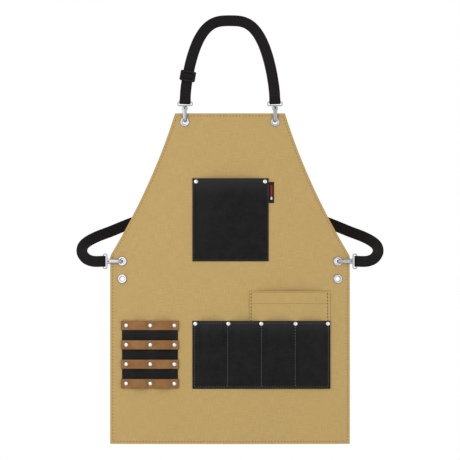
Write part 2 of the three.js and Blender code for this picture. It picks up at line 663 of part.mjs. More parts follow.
// Neck strap: an arch that leans back from the bib to the nape
const neckPoints = spread(0, Math.PI, NECK_STRAP.points + 1).map((angle, i) => {
  if (i === 0) return neckBars[0];
  if (i === NECK_STRAP.points) return neckBars[1];
  const side = -Math.cos(angle);
  const up = Math.sin(angle);
  const x = NECK_EYELET.x * Math.sign(side) * (1 - up ** NECK_STRAP.risePower) ** NECK_STRAP.archPower;
  const y = lerp(neckBars[0].y, THICK.webbing / 2, up ** NECK_STRAP.leanPower);
  return new THREE.Vector3(x, y, neckBars[0].z * (1 - up));
});
const neckLine = new THREE.CatmullRomCurve3(neckPoints);
const neckLength = neckLine.getLength();
// The webbing lies square on the bars and turns its face to the front on the way up
const barSlope = (2 * WORN.wrapDepth * NECK_EYELET.x) / halfWidth ** 2;
function neckFrame(distance) {
  const fromBar = Math.min(distance, neckLength - distance);
  const skew = -barSlope * (1 - smoothstep(fromBar, STRAP.lapStart, NECK_STRAP.settle));
  return strapFrame(neckLine, neckLength, distance, skew);
}

// The doubled run below the slider, and the way in and out of the slider's openings
const half = SLIDER.height / 2;
const centre = SLIDER.distance;
const neckMain = [
  { distance: 0, offset: STRAP.turn },
  { distance: STRAP.lapStart, offset: STRAP.lap },
  { distance: centre - half - STRAP.ease, offset: STRAP.lap },
  { distance: centre - half, offset: -SLIDER.clear },
  { distance: centre - half + SLIDER.bar, offset: -SLIDER.clear },
  { distance: centre - SLIDER.bar / 2, offset: SLIDER.clear },
  { distance: centre + SLIDER.bar / 2, offset: SLIDER.clear },
  { distance: centre + half - SLIDER.bar, offset: -SLIDER.clear },
  { distance: centre + half, offset: -SLIDER.clear },
  { distance: centre + half + STRAP.ease, offset: 0 },
  ...endLap(neckLength, NECK_STRAP.tail, 1),
];
const neckStartTail = [
  { distance: centre + SLIDER_EDGE.tailReach, offset: -SLIDER.clear },
  { distance: centre - SLIDER_EDGE.tailReach, offset: -SLIDER.clear },
  { distance: centre - half + SLIDER.bar, offset: -SLIDER.clear - 2 * STRAP.lap },
  { distance: centre - half, offset: -SLIDER.clear - 2 * STRAP.lap },
  { distance: centre - half - STRAP.ease, offset: -STRAP.lap },
  { distance: STRAP.lapStart, offset: -STRAP.lap },
  { distance: 0, offset: -STRAP.turn },
];
const neckEndTail = endLap(neckLength, NECK_STRAP.tail, -1).slice(1).reverse();
const neckRuns = [neckStartTail, neckMain, neckEndTail].map((rows) => fillIn(rows));
addPiece(apron, "neck_strap", webbing(neckFrame, neckLength, ...neckRuns), WEBBING);

// Slider on the neck strap
const sliderSeat = neckFrame(SLIDER.distance);
const sliderBack = sliderSeat.out.clone().negate();
const sliderTurn = new THREE.Matrix4().makeBasis(sliderSeat.across, sliderBack, sliderSeat.along);
const sliderStand = new THREE.Group();
sliderStand.quaternion.setFromRotationMatrix(sliderTurn);
sliderStand.position.copy(sliderSeat.point);
apron.add(sliderStand);
const { corner: sliderCorner, bevel: sliderBevel, slotCorner } = SLIDER_EDGE;
const slotHeight = (SLIDER.height - 3 * SLIDER.bar) / 2;
const sliderSlots = [-1, 1].map((side) => {
  const [wide, high] = [SLIDER.slot + 2 * sliderBevel, slotHeight + 2 * sliderBevel];
  return roundedRectangle(new THREE.Path(), wide, high, slotCorner, (side * (slotHeight + SLIDER.bar)) / 2);
});
const [sliderWide, sliderHigh] = [SLIDER.width - 2 * sliderBevel, SLIDER.height - 2 * sliderBevel];
const sliderOutline = roundedRectangle(new THREE.Shape(), sliderWide, sliderHigh, sliderCorner);
const sliderFrame = frame(sliderOutline, sliderSlots, SLIDER.thickness, sliderBevel);
addPiece(sliderStand, "strap_slider", sliderFrame, PLASTIC);

// Waist strap: out from one hook, round the back and in to the other hook
const waistPoints = [
  waistBars[0],
  ...WAIST_ROUTE.map((row) => new THREE.Vector3(-row.x, row.y, row.z)),
  new THREE.Vector3(WAIST_BACK.x, WAIST_BACK.y, WAIST_BACK.z),
  ...WAIST_ROUTE.map((row) => new THREE.Vector3(row.x, row.y, row.z)).reverse(),
  waistBars[1],
];
const waistLine = new THREE.CatmullRomCurve3(waistPoints);
const waistLength = waistLine.getLength();
const waistFrame = (distance) => strapFrame(waistLine, waistLength, distance, 0);
const inTurn = (distance) => Math.min(distance, waistLength - distance) < WAIST_STRAP.turnEnd;
const waistStep = (distance) => (inTurn(distance) ? WAIST_STRAP.turnStep : WAIST_STRAP.backStep);
const waistEnd = [
  { distance: waistLength - WAIST_STRAP.turnEnd, offset: 0 },
  ...endLap(waistLength, WAIST_STRAP.tail, 1),
];
const waistMain = [...flipEnd(waistEnd, waistLength), ...waistEnd];
const waistEndTail = endLap(waistLength, WAIST_STRAP.tail, -1).slice(1).reverse();
const waistStartTail = flipEnd(waistEndTail, waistLength);
const waistRuns = [waistStartTail, waistMain, waistEndTail].map((rows) => fillIn(rows, waistStep));
addPiece(apron, "waist_strap", webbing(waistFrame, waistLength, ...waistRuns), WEBBING);

export default apron;
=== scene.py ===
import math
from collections import namedtuple
from functools import partial
from types import SimpleNamespace as Sizes

import bmesh
import bpy
import numpy as np
from mathutils import Matrix, Vector


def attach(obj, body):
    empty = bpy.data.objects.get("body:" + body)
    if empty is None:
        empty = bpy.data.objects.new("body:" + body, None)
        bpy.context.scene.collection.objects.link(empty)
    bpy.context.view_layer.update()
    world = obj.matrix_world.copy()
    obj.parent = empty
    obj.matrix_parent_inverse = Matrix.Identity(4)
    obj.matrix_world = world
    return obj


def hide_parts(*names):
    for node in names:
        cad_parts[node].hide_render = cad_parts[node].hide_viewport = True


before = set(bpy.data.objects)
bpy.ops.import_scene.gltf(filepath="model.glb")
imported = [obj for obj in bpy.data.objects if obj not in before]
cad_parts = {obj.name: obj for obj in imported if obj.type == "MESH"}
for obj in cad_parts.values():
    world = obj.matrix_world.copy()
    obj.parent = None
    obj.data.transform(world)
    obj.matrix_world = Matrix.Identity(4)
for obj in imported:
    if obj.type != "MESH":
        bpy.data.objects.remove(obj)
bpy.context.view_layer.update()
scene = bpy.context.scene

# Sizes in millimetres: +Z is up, the front faces -Y, and the origin is at the nape of the neck strap
MM = 0.001
SIDES = [("left", -1), ("right", 1)]
APRON = Sizes(width=580, height=800, bib_width=266, armhole_drop=345, armhole_bow=12.5, top_z=-226)
WORN = Sizes(front_y=-150, wrap_depth=42, bib_lean=6)
THICK = Sizes(canvas=1.6, leather=1.8, webbing=1.6, tag=1.0)
GAP = 0.4
HEM = Sizes(width=9, step=0.6, extra=1.4, stitch=6.2)
BODY_GRID = Sizes(columns=122, rows=172, inset=2.4)

# Pieces on the canvas; mesh is the distance between a piece's points
CHEST = Sizes(left=-91, right=93.5, bottom=-584, top=-383, mesh=2.8, margin=15, bulge=10)
TAG_REACH = 13
TAG = Sizes(left=CHEST.right + GAP, right=CHEST.right + TAG_REACH, bottom=-443, top=-392, mesh=1.2)
TAG_BARS = Sizes(x=CHEST.right + 0.53 * TAG_REACH, half=2.1, white_half=2.0, red=(33, 7), white=(43, 36))
HIP = Sizes(left=47, right=243, bottom=-880, top=-656, mesh=3.2, margin=14, bulge=8.5, ramp=13, ramp_end=1)
HIP_HEM = Sizes(height=32, step=0.8, rise=0.7)
TOOLS = Sizes(left=-91, right=243, bottom=-892.5, top=-728, mesh=2.8, margin=7, bulge=11, edge=7)
TOOL_DIVIDERS = [-6, 76, 158]
TOOL_RIVETS = Sizes(z=-735, x=[-83.5, -4, 76, 158, 235.5])
HOLDER = Sizes(left=-264, right=-124, top=-728, strap=22.5, pitch=46.9, straps=4, mesh=1.6)
HOLDER_RIVETS = Sizes(left=-249.8, right=-133.8, columns=3)
HOLDER_PANEL = Sizes(left=-261.5, right=-126, inset=5, mesh=3.0)
HOLDER_LOOP = Sizes(margin=7, bulge=9)
BELLY_POWER = 2.6
MOUTH_WEAR = 0.24

# bright is the share of a rivet cap's radius inside which no painted shade falls
RIVET = Sizes(
    cap=5.2, dome=2.3, rim=0.35, back=4.2, back_height=1.2, shank=1.5, sides=40, arc=9, bright=0.74)
RIVET_INSET = Sizes(x=9, z=8)
EYELET = Sizes(
    hole=6, tube=6.8, front=11.5, back=10.5, crest=1.7, roll_power=0.8, washer=0.7, bevel=0.3, sides=56,
    arc=15)
# Painted shade at an eyelet's rims: its width inside the hole, and where it starts on the roll as a share of
# the roll's half width
EYELET_SHADE_RIM = Sizes(inner=1, outer_share=0.2)
DRILL_REACH = 20
NECK_EYELET = Sizes(x=109, z=-246.6)
WAIST_EYELET = Sizes(x=260.5, z=-584, spare_z=-626.5)

# Snap hook, measured from the eyelet's middle: Z along the hook, Y back through the cloth
CLIP = Sizes(
    swivel_y=2, spine_y=-6.3, gate_y=11, wire=4.2, wire_width=8, low_z=0.6, tip_z=11.4, straight=8,
    pivot_z=32.2, barrel=5.8, barrel_low_z=32.4, barrel_top_z=36.4, barrel_lap=1.6, shoulder=11, overlap=0.3,
    bend_points=25)
PIN_HEAD = Sizes(radius=1.9, z=33.4, sink=0.4, sides=24, arc=6)
SPINE_OUTLINE = [(8, 4), (13, 4.5), (18, 4.9), (25, 4.9), (28, 5), (29.5, 5.8), (31, 7), (36.4, 6.6)]
SWIVEL = Sizes(post=2, bore=2.8, head=3.3, head_height=1.4, counterbore=3.8)
HUB = Sizes(radius=5, height=1.8, seat=0.8)
GATE = Sizes(width=6.4, thickness=3, knuckle=2.3, pin=1, pin_hole=1.6)
EAR = Sizes(width=2, space=7.4, drop=0.6, front_y=6)
THUMB_PAD = Sizes(width=5.6, drop=9, height=6, lift=1.2)
LOOP = Sizes(width=38, height=12, bar=2.6, corner=3.7)
# Span of 1 - |normal Y| over which a casting's sides get painted shade on steel and a painted highlight on
# plastic
PAINTED_SIDE_SPAN = (0.25, 0.85)

STRAP = Sizes(
    width=26.6, turn=5.2, turn_points=15, lap=1.05, lap_start=12, ease=12, step=2.2, ribs=8, rib_points=4,
    rib_depth=0.14, edge=0.8, edge_points=4)
NECK_STRAP = Sizes(rise_power=1.5, arch_power=0.33, lean_power=1.7, points=24, settle=60, tail=42)
SLIDER = Sizes(distance=66.4, width=38, height=28, thickness=3, bar=4, bar_lap=2, slot=25.8, clear=2.9)
SLIDER_EDGE = Sizes(corner=4, slot_corner=1.5, tail_reach=3)
WAIST_TAIL = 24
STRAP_BOX = Sizes(reach=8.5, neck=(37, 15), waist=(9, 22))
# Way of the waist strap from the right hook to the middle of the back
WAIST_ROUTE = [
    (331, -95.6, -584), (347, -86, -578.5), (357, -72, -567), (359, -55, -555.5), (354.5, -38, -544.5),
    (342.5, -20, -534.5), (322, 2, -524), (290, 31, -511.7), (244, 62, -493), (185, 84, -472.5),
    (122, 97, -459), (60, 103, -452),
]
WAIST_BACK = (0, 104, -450)

# Soft folds that open toward the lower hem: middle, reach to each side, and depth to the back
FOLD_TOP_Z = -866
SKIRT_FOLDS = [(-238, 62, -6), (-118, 74, 7), (4, 78, -7), (126, 72, 7), (236, 60, -6)]
# Slack creases in the canvas: start and end as seen from the front, width, and depth to the back.
# The left crease of each pair is given, and the right one mirrors it.
CREASE_PAIRS = [
    ((-104, -262), (-40, -372), 15, 1.3),
    ((-245, -586), (-120, -630), 15, 1.5),
    ((-238, -560), (-130, -520), 18, -1.2),
    ((-140, -330), (-175, -470), 14, 1.1),
]
SINGLE_CREASES = [
    ((-60, -250), (60, -250), 17, -1.0),
    ((-105, -640), (-108, -900), 16, 1.2),
    ((262, -680), (266, -900), 15, 1.2),
    ((-60, -930), (-40, -1010), 18, 1.2),
    ((70, -930), (60, -1010), 18, -1.1),
]
CREASE_FADE = Sizes(eyelet=40, power=0.7, start=0.05)

# Stitch lines, measured from a pocket's edges, and the pull of the thread on the cloth
CHEST_STITCH = Sizes(side=2.6, bottom=3.6, top=6.4)
TOOL_STITCH = Sizes(side=4.8, bottom=4.8, top=5.3)
HIP_STITCH = Sizes(left=4.3, right=6.8, top=3, hem=30)
GROOVE = Sizes(depth=0.4, width=1.0)
SEAM_SINK = 0.15
# Places of a mesh's points at an edge and beside a stitch line
EDGE_STEPS = [0, 0.12, 0.4, 0.9]
GROOVE_STEPS = [-1.8, -0.9, 0, 0.9, 1.8]
# Distances from the edge over which each kind of sheet keeps the tint of its cut edge
BODY_EDGE, PATCH_EDGE, STRAP_EDGE = (0.3, 2.0), (0.2, 1.6), (0.4, 1.8)
LEAST_EDGE = 0.12
# Places along a holder strap at which its depth is read
MEASURE_POINTS = 400
# Rings of a stitch: place along it, and swell and rise in shares of its radius
STITCH_RINGS = [
    (-1, 0.3, -0.6), (-0.82, 0.8, -0.1), (-0.4, 1, 0.25), (0.4, 1, 0.25), (0.82, 0.8, -0.1), (1, 0.3, -0.6),
]
STITCH_SIDES = 6
STITCH_FLATNESS = 0.8

half_width = APRON.width / 2
hem_z = APRON.top_z - APRON.height
waist_z = APRON.top_z - APRON.armhole_drop
canvas_front = THICK.canvas / 2
loop_low_z = CLIP.barrel_top_z + GAP + HUB.height - HUB.seat
bar_z = loop_low_z + LOOP.height - LOOP.bar / 2
tool_edges = [TOOLS.left + TOOLS.edge, *TOOL_DIVIDERS, TOOLS.right - TOOLS.edge]
holder_tops = [HOLDER.top - i * HOLDER.pitch for i in range(HOLDER.straps)]
holder_rivet_x = np.linspace(HOLDER_RIVETS.left, HOLDER_RIVETS.right, HOLDER_RIVETS.columns)


# Shape of the worn canvas
def lerp(low, high, share):
    return low + (high - low) * share


def smoothstep(value, low, high):
    share = np.clip((value - low) / (high - low), 0, 1)
    return share * share * (3 - 2 * share)


def edge_x(z):
    """Half of the canvas width at a height."""
    up = np.clip((z - waist_z) / APRON.armhole_drop, 0, 1)
    return lerp(half_width, APRON.bib_width / 2, up) - 4 * APRON.armhole_bow * up * (1 - up)


def crease_depth(x, z):
    """Depth of the slack creases, fading out at the hooked eyelets."""
    depth = np.zeros(np.broadcast(x, z).shape)
    creases = [(1, *crease) for crease in SINGLE_CREASES]
    creases += [(sign, *crease) for crease in CREASE_PAIRS for sign in (1, -1)]
    for sign, (x0, z0), (x1, z1), width, deepest in creases:
        run_x, run_z = sign * (x1 - x0), z1 - z0
        off_x, off_z = x - sign * x0, z - z0
        share = (off_x * run_x + off_z * run_z) / (run_x**2 + run_z**2)
        near = np.clip(share, 0, 1)
        away = (off_x - near * run_x) ** 2 + (off_z - near * run_z) ** 2
        fade = np.clip(lerp(CREASE_FADE.start, 1 - CREASE_FADE.start, share), 0, 1)
        depth = depth + deepest * np.sin(np.pi * fade) ** CREASE_FADE.power * np.exp(-away / width**2)
    for eyelet in (NECK_EYELET, WAIST_EYELET):
        away = (np.abs(x) - eyelet.x) ** 2 + (z - eyelet.z) ** 2
        depth = depth * (1 - np.exp(-away / CREASE_FADE.eyelet**2))
    return depth


def canvas_y(x, z):
    """Depth of the middle of the canvas at a place seen from the front."""
    wrap = WORN.wrap_depth * (x / half_width) ** 2
    lean = WORN.bib_lean * smoothstep(z, waist_z, APRON.top_z)
    opening = 1 - smoothstep(z, hem_z, FOLD_TOP_Z)
    folds = 0
    for middle, reach, depth in SKIRT_FOLDS:
        away = np.minimum(np.abs(x - middle) / reach, 1)
        folds = folds + depth * (1 + np.cos(np.pi * away)) / 2
    return WORN.front_y + wrap + lean + folds * opening + crease_depth(x, z)


def bellies(x, edges, margin):
    """How far a piece stands open between the edges that hold it: 0 within the margin of each, 1 midway."""
    opened = 0
    for start, end in zip(edges, edges[1:]):
        share = np.clip((x - start - margin) / (end - start - 2 * margin), 0, 1)
        opened = opened + 1 - np.abs(2 * share - 1) ** BELLY_POWER
    return opened


def mouth(z, pocket):
    """How far a pocket stands open on the way up from its sewn bottom edge to its mouth."""
    share = np.clip((z - pocket.bottom - pocket.margin) / (pocket.top - pocket.bottom - pocket.margin), 0, 1)
    return 1 - (1 - share) ** 2


# Space between a piece's rear face and the canvas
def pocket_rear(pocket, x, z):
    return GAP + pocket.bulge * bellies(x, (pocket.left, pocket.right), pocket.margin) * mouth(z, pocket)


chest_rear = partial(pocket_rear, CHEST)
hip_rear = partial(pocket_rear, HIP)


def hip_y(x, z):
    return canvas_y(x, z) - THICK.canvas - hip_rear(x, z)


def tool_rear(x, z):
    over_hip = smoothstep(x, HIP.left - HIP.ramp, HIP.left - HIP.ramp_end)
    seat = GAP + over_hip * (hip_rear(x, z) + THICK.canvas)
    return seat + TOOLS.bulge * bellies(x, tool_edges, TOOLS.margin) * mouth(z, TOOLS)


def panel_rear(x, z):
    return GAP + 0 * x * z


def strap_rear(x, z):
    opened = HOLDER_LOOP.bulge * bellies(x, holder_rivet_x, HOLDER_LOOP.margin)
    return 2 * GAP + THICK.leather + opened + 0 * z


# Material nodes
Look = namedtuple("Look", "material slot")


def linear(red, green, blue):
    """A colour given as it shows on screen, 0 to 255, as the shader needs it."""
    shares = [channel / 255 for channel in (red, green, blue)]
    return (*(s / 12.92 if s <= 0.04045 else ((s + 0.055) / 1.055) ** 2.4 for s in shares), 1.0)


class Shader:
    """A material whose nodes are added one call at a time. A tuple is a colour as it shows on screen."""

    MIX_COLOURS = (6, 7)
    MIX_RESULT = 2
    SOCKETS = {
        "roughness": "Roughness", "metallic": "Metallic", "specular": "Specular IOR Level",
        "sheen": "Sheen Weight", "sheen_roughness": "Sheen Roughness",
    }

    def __init__(self, name, **settings):
        self.material = bpy.data.materials.new(name)
        self.material.use_nodes = True
        self.tree = self.material.node_tree
        self.surface = self.tree.nodes["Principled BSDF"]
        for socket, value in settings.items():
            self.surface.inputs[self.SOCKETS[socket]].default_value = value

    def feed(self, socket, value):
        if isinstance(value, bpy.types.NodeSocket):
            self.tree.links.new(value, socket)
        else:
            socket.default_value = linear(*value) if isinstance(value, tuple) else value

    def add(self, kind, inputs, **settings):
        node = self.tree.nodes.new("ShaderNode" + kind)
        for name, value in settings.items():
            setattr(node, name, value)
        for key, value in inputs.items():
            self.feed(node.inputs[key], value)
        return node

    def math(self, operation, first, second=0.0, third=0.0):
        return self.add("Math", {0: first, 1: second, 2: third}, operation=operation).outputs[0]

    def times(self, first, second):
        return self.math("MULTIPLY", first, second)

    def wave(self, value, rate):
        return self.math("SINE", self.times(value, rate))

    def flat(self):
        """Across and along places on the flat cloth, in millimetres."""
        split = self.add("SeparateXYZ", {0: self.add("UVMap", {}).outputs[0]})
        return split.outputs[0], split.outputs[1]

    def vector(self, x, y):
        return self.add("CombineXYZ", {0: x, 1: y}).outputs[0]

    def place(self):
        """Place in the frame, in metres."""
        return self.add("TexCoord", {}).outputs["Object"]

    def noise(self, vector, scale=1.0, detail=3.0, roughness=0.55):
        inputs = {"Vector": vector, "Scale": scale, "Detail": detail, "Roughness": roughness}
        return self.add("TexNoise", inputs).outputs[0]

    def streaks(self, u, v, rate_u, rate_v, detail=3.0):
        return self.noise(self.vector(self.times(u, rate_u), self.times(v, rate_v)), detail=detail)

    def span(self, value, given, wanted=(0.0, 1.0)):
        """A value moved from one span to another."""
        inputs = {0: value, 1: given[0], 2: given[1], 3: wanted[0], 4: wanted[1]}
        return self.add("MapRange", inputs).outputs[0]

    def mix(self, share, first, second):
        node = self.add("Mix", {0: share}, data_type="RGBA")
        for index, value in zip(self.MIX_COLOURS, (first, second)):
            self.feed(node.inputs[index], value)
        return node.outputs[self.MIX_RESULT]

    def between(self, wave, first, second):
        return self.mix(self.span(wave, (-1.0, 1.0)), first, second)

    def toward(self, name, strength, tint, other):
        """A tint moved toward another by a share on the mesh: cut edge, pocket mouth, or painted light on
        metal and plastic.
        """
        share = self.add("Attribute", {}, attribute_name=name).outputs["Fac"]
        return self.mix(self.times(share, strength), tint, other)

    def bump(self, height, strength, depth_mm):
        """A bump on top of any that the surface has already."""
        inputs = {"Height": height, "Strength": strength, "Distance": depth_mm * MM}
        if self.surface.inputs["Normal"].is_linked:
            inputs["Normal"] = self.surface.inputs["Normal"].links[0].from_socket
        self.set("Normal", self.add("Bump", inputs).outputs[0])

    def set(self, socket, value):
        self.feed(self.surface.inputs[socket], value)

    def look(self, slot):
        return Look(self.material, slot)


def canvas_look():
    pitch, slub_long, slub_short = 1.15, 0.045, 0.8
    shader = Shader("canvas", roughness=0.92, specular=0.15, sheen=0.12, sheen_roughness=0.5)
    u, v = shader.flat()
    weave = shader.times(shader.wave(u, math.pi / pitch), shader.wave(v, math.pi / pitch))
    across = shader.streaks(u, v, slub_long, slub_short)
    slub = shader.math("ADD", across, shader.streaks(u, v, slub_short, slub_long))
    cloud = shader.noise(shader.vector(u, v), scale=0.011, detail=2.0)
    tint = shader.mix(shader.span(slub, (0.72, 1.28)), (181, 152, 96), (198, 170, 113))
    tint = shader.mix(shader.span(cloud, (0.3, 0.7), (0.0, 0.35)), tint, (190, 160, 100))
    tint = shader.mix(shader.span(weave, (-1.0, 1.0), (0.22, 0.0)), tint, (120, 96, 54))
    shader.set("Base Color", shader.toward("edge", 0.45, tint, (150, 122, 66)))
    shader.bump(slub, strength=0.35, depth_mm=0.35)
    shader.bump(weave, strength=0.45, depth_mm=0.22)
    return shader.look("canvas")


def leather_look(name, slot, dark, light, worn, edge, wear):
    drift_u, drift_v = 7.0, -6.0
    shader = Shader(name, specular=0.1)
    u, v = shader.flat()
    place = shader.vector(u, v)
    wander = shader.noise(place, scale=0.09, detail=4.0)
    shifted = shader.vector(
        shader.math("MULTIPLY_ADD", wander, drift_u, u), shader.math("MULTIPLY_ADD", wander, drift_v, v))
    cells = shader.add("TexVoronoi", {"Vector": shifted, "Scale": 0.62}).outputs["Distance"]
    creases = shader.add("TexVoronoi", {"Vector": shifted, "Scale": 0.105}, feature="DISTANCE_TO_EDGE")
    crease = shader.span(creases.outputs[0], (0.0, 0.07), (1.0, 0.0))
    rub = shader.span(shader.noise(place, scale=0.035, detail=5.0, roughness=0.65), (0.42, 0.7))
    tint = shader.mix(rub, dark, light)
    tint = shader.mix(shader.times(crease, wear), tint, light)
    tint = shader.toward("mouth", wear, tint, worn)
    shader.set("Base Color", shader.toward("edge", 0.7, tint, edge))
    shader.set("Roughness", shader.span(rub, (0.0, 1.0), (0.5, 0.66)))
    shader.bump(crease, strength=-0.25, depth_mm=0.35)
    shader.bump(cells, strength=0.5, depth_mm=0.28)
    shader.bump(shader.noise(place, scale=2.6, detail=2.0), strength=0.25, depth_mm=0.1)
    return shader.look(slot)


def webbing_look():
    rib, twill = 3.1, 1.7
    shader = Shader("webbing", roughness=0.78, specular=0.08, sheen=0.02, sheen_roughness=0.4)
    u, v = shader.flat()
    slope = shader.math("ADD", v, shader.math("PINGPONG", u, rib))
    yarn = shader.wave(slope, 2 * math.pi / twill)
    fibre = shader.streaks(u, v, rate_u=1.5, rate_v=0.12, detail=4.0)
    tint = shader.between(yarn, (14, 11, 12), (34, 30, 31))
    tint = shader.mix(shader.span(fibre, (0.35, 0.75), (0.0, 0.55)), tint, (42, 38, 39))
    shader.set("Base Color", shader.toward("edge", 0.5, tint, (14, 12, 13)))
    shader.bump(yarn, strength=0.5, depth_mm=0.22)
    shader.bump(fibre, strength=0.2, depth_mm=0.2)
    return shader.look("webbing")


Thread = namedtuple("Thread", "pitch length width look")


def make_thread(name, slot, dark, light, pitch, length, width):
    """Twisted thread; the flat places run round and along each stitch."""
    shader = Shader(name, roughness=0.7, specular=0.25)
    twist = shader.wave(shader.math("ADD", *shader.flat()), 5.5)
    shader.set("Base Color", shader.between(twist, dark, light))
    shader.bump(twist, strength=0.5, depth_mm=0.15)
    return Thread(pitch, length, width, shader.look(slot))


def steel_look(name, dark, light, polish, painted_shade=0.8):
    """Plated steel, with painted shade along its rims and sides as strong as the given share."""
    shader = Shader(name, metallic=1.0)
    place = shader.place()
    haze = shader.noise(place, scale=420.0, detail=4.0)
    # Painted shade: the edge share darkens the rims and sides toward a cool grey
    shader.set("Base Color", shader.toward("edge", painted_shade, shader.mix(haze, dark, light), (96, 98, 108)))
    shader.set("Roughness", shader.span(haze, (0.3, 0.7), polish))
    shader.bump(shader.noise(place, scale=2600.0, detail=2.0), strength=0.06, depth_mm=0.05)
    return shader.look("steel")


def plastic_look():
    shader = Shader("moulded plastic", specular=0.2)
    place = shader.place()
    haze = shader.noise(place, scale=120.0, detail=4.0)
    tint = shader.mix(haze, (12, 12, 13), (26, 26, 27))
    # Painted highlight: the slider's sides are tinted lighter by the edge share
    shader.set("Base Color", shader.toward("edge", 0.7, tint, (62, 62, 64)))
    shader.set("Roughness", shader.span(haze, (0.3, 0.7), (0.36, 0.52)))
    shader.bump(shader.noise(place, scale=2200.0, detail=2.0), strength=0.3, depth_mm=0.12)
    return shader.look("plastic")


def tag_look():
    """Black woven tape with a plain red bar and a short white one."""
    shader = Shader("woven tag", roughness=0.75, specular=0.2)
    u, v = shader.flat()
    weave = shader.times(shader.wave(u, 7.0), shader.wave(v, 5.0))
    tint = shader.between(weave, (14, 13, 14), (36, 33, 34))
    bars = [
        (TAG_BARS.red, TAG_BARS.half, (120, 18, 26), (178, 32, 42)),
        (TAG_BARS.white, TAG_BARS.white_half, (190, 190, 190), (236, 236, 236)),
    ]
    for (low, high), half, dark, light in bars:
        beside = shader.math("COMPARE", u, TAG_BARS.x, half)
        level = shader.math("COMPARE", v, TAG.top - (low + high) / 2, (low - high) / 2)
        tint = shader.mix(shader.times(beside, level), tint, shader.between(weave, dark, light))
    shader.set("Base Color", tint)
    shader.bump(weave, strength=0.5, depth_mm=0.15)
    return shader.look("webbing")


def floor_material():
    shader = Shader("pale floor", roughness=0.85)
    cloud = shader.noise(shader.place(), scale=1.6, detail=4.0)
    shader.set("Base Color", shader.mix(cloud, (236, 236, 235), (244, 244, 243)))
    return shader.material


canvas = canvas_look()
black_leather = leather_look(
    "black leather", "black_leather", dark=(18, 18, 18), light=(29, 29, 29), worn=(42, 42, 42),
    edge=(40, 38, 37), wear=0.7)
brown_leather = leather_look(
    "brown leather", "brown_leather", dark=(134, 95, 57), light=(152, 111, 69), worn=(160, 119, 76),
    edge=(104, 70, 41), wear=0.18)
webbing = webbing_look()
hook_steel = steel_look("nickel plate", (150, 153, 160), (186, 188, 193), polish=(0.38, 0.5))
eyelet_steel = steel_look("eyelet nickel", (178, 180, 186), (208, 209, 213), polish=(0.3, 0.42))
rivet_steel = steel_look("bright nickel", (214, 216, 220), (242, 243, 245), polish=(0.22, 0.36))
# Painted shade: the pin head is tinted dark so that it shows as a dark dot of shade on the hook's spine
pin_shade_steel = steel_look("pin head painted shade", (52, 52, 56), (84, 84, 90), polish=(0.3, 0.45), painted_shade=0.0)
plastic = plastic_look()
tag_tape = tag_look()

# Threads: name, slot, dark and light tints, then the pitch, length and width of a stitch
hem_thread = make_thread("hem thread", "canvas", (136, 90, 38), (172, 122, 64), 7.7, 4.4, 1.6)
hip_thread = make_thread("pocket thread", "canvas", (112, 90, 48), (142, 116, 68), 5, 3.4, 1.0)
hip_side_thread = make_thread("pocket side thread", "canvas", (74, 58, 28), (108, 86, 46), 8, 4.4, 2.3)
tool_thread = make_thread("leather thread", "black_leather", (72, 72, 72), (130, 130, 130), 6.2, 3.4, 1.1)
divider_thread = tool_thread._replace(pitch=7, length=3.6, width=1.4)
chest_thread = make_thread("chest thread", "black_leather", (50, 50, 50), (96, 96, 96), 5.2, 3.2, 1.1)
seam_thread = tool_thread._replace(look=chest_thread.look._replace(slot="canvas"))
strap_thread = make_thread("strap thread", "webbing", (26, 24, 25), (58, 54, 55), 3.4, 2.7, 0.8)


# Meshes
def link(name, data):
    """A new object in the scene."""
    made = bpy.data.objects.new(name, data)
    scene.collection.objects.link(made)
    return made


def add_object(name, mesh, look, body="apron", stands_for=()):
    mesh.materials.clear()
    mesh.materials.append(look.material)
    mesh.shade_smooth()
    piece = link(name, mesh)
    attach(piece, body)
    if stands_for:
        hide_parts(*stands_for)
    return piece


def add_piece(name, points, faces, look, flat, stands_for=(), **shares):
    """A piece on the apron from points in millimetres and their places on the flat cloth, with shares."""
    mesh = bpy.data.meshes.new(name)
    mesh.from_pydata(np.asarray(points) * MM, [], faces)
    corners = np.zeros(len(mesh.loops), dtype=np.int32)
    mesh.loops.foreach_get("vertex_index", corners)
    layer = mesh.uv_layers.new(name="flat")
    layer.data.foreach_set("uv", np.asarray(flat, dtype=np.float32)[corners].ravel())
    for share, values in shares.items():
        set_share(mesh, share, values)
    return add_object(name, mesh, look, stands_for=stands_for)


def set_share(mesh, name, values):
    attribute = mesh.attributes.new(name, "FLOAT", "POINT")
    attribute.data.foreach_set("value", np.asarray(values, dtype=np.float32).ravel())


def read_points(mesh, kind):
    """The places, co, or the normals, normal, of a mesh's points."""
    values = np.zeros(3 * len(mesh.vertices), dtype=np.float32)
    mesh.vertices.foreach_get(kind, values)
    return values.reshape(-1, 3)


def sheet_faces(tall, wide):
    """Faces of a closed sheet whose points are a front grid and then a back grid, row by row."""
    layer = tall * wide
    corner = (np.arange(tall - 1)[:, None] * wide + np.arange(wide - 1)).ravel()
    front = np.stack([corner, corner + 1, corner + wide + 1, corner + wide], axis=1)
    back = layer + np.stack([corner, corner + wide, corner + wide + 1, corner + 1], axis=1)
    rim = [*range(wide - 1), *range(wide - 1, layer - 1, wide)]
    rim += [*range(layer - 1, layer - wide, -1), *range(layer - wide, 0, -wide)]
    here = np.array(rim)
    following = np.roll(here, -1)
    around = np.stack([here, layer + here, layer + following, following], axis=1)
    return np.concatenate([front, back, around]).tolist()


def add_sheet(name, x, z, front_y, back_y, look, node, **shares):
    """A closed sheet between two depths over a grid, with shares that are the same on both faces."""
    layers = [np.stack([x, y, z], axis=-1).reshape(-1, 3) for y in (front_y, back_y)]
    flat = np.tile(np.stack([x, z], axis=-1).reshape(-1, 2), (2, 1))
    shares = {share: np.tile(values.ravel(), 2) for share, values in shares.items()}
    return add_piece(name, np.concatenate(layers), sheet_faces(*x.shape), look, flat, [node], **shares)


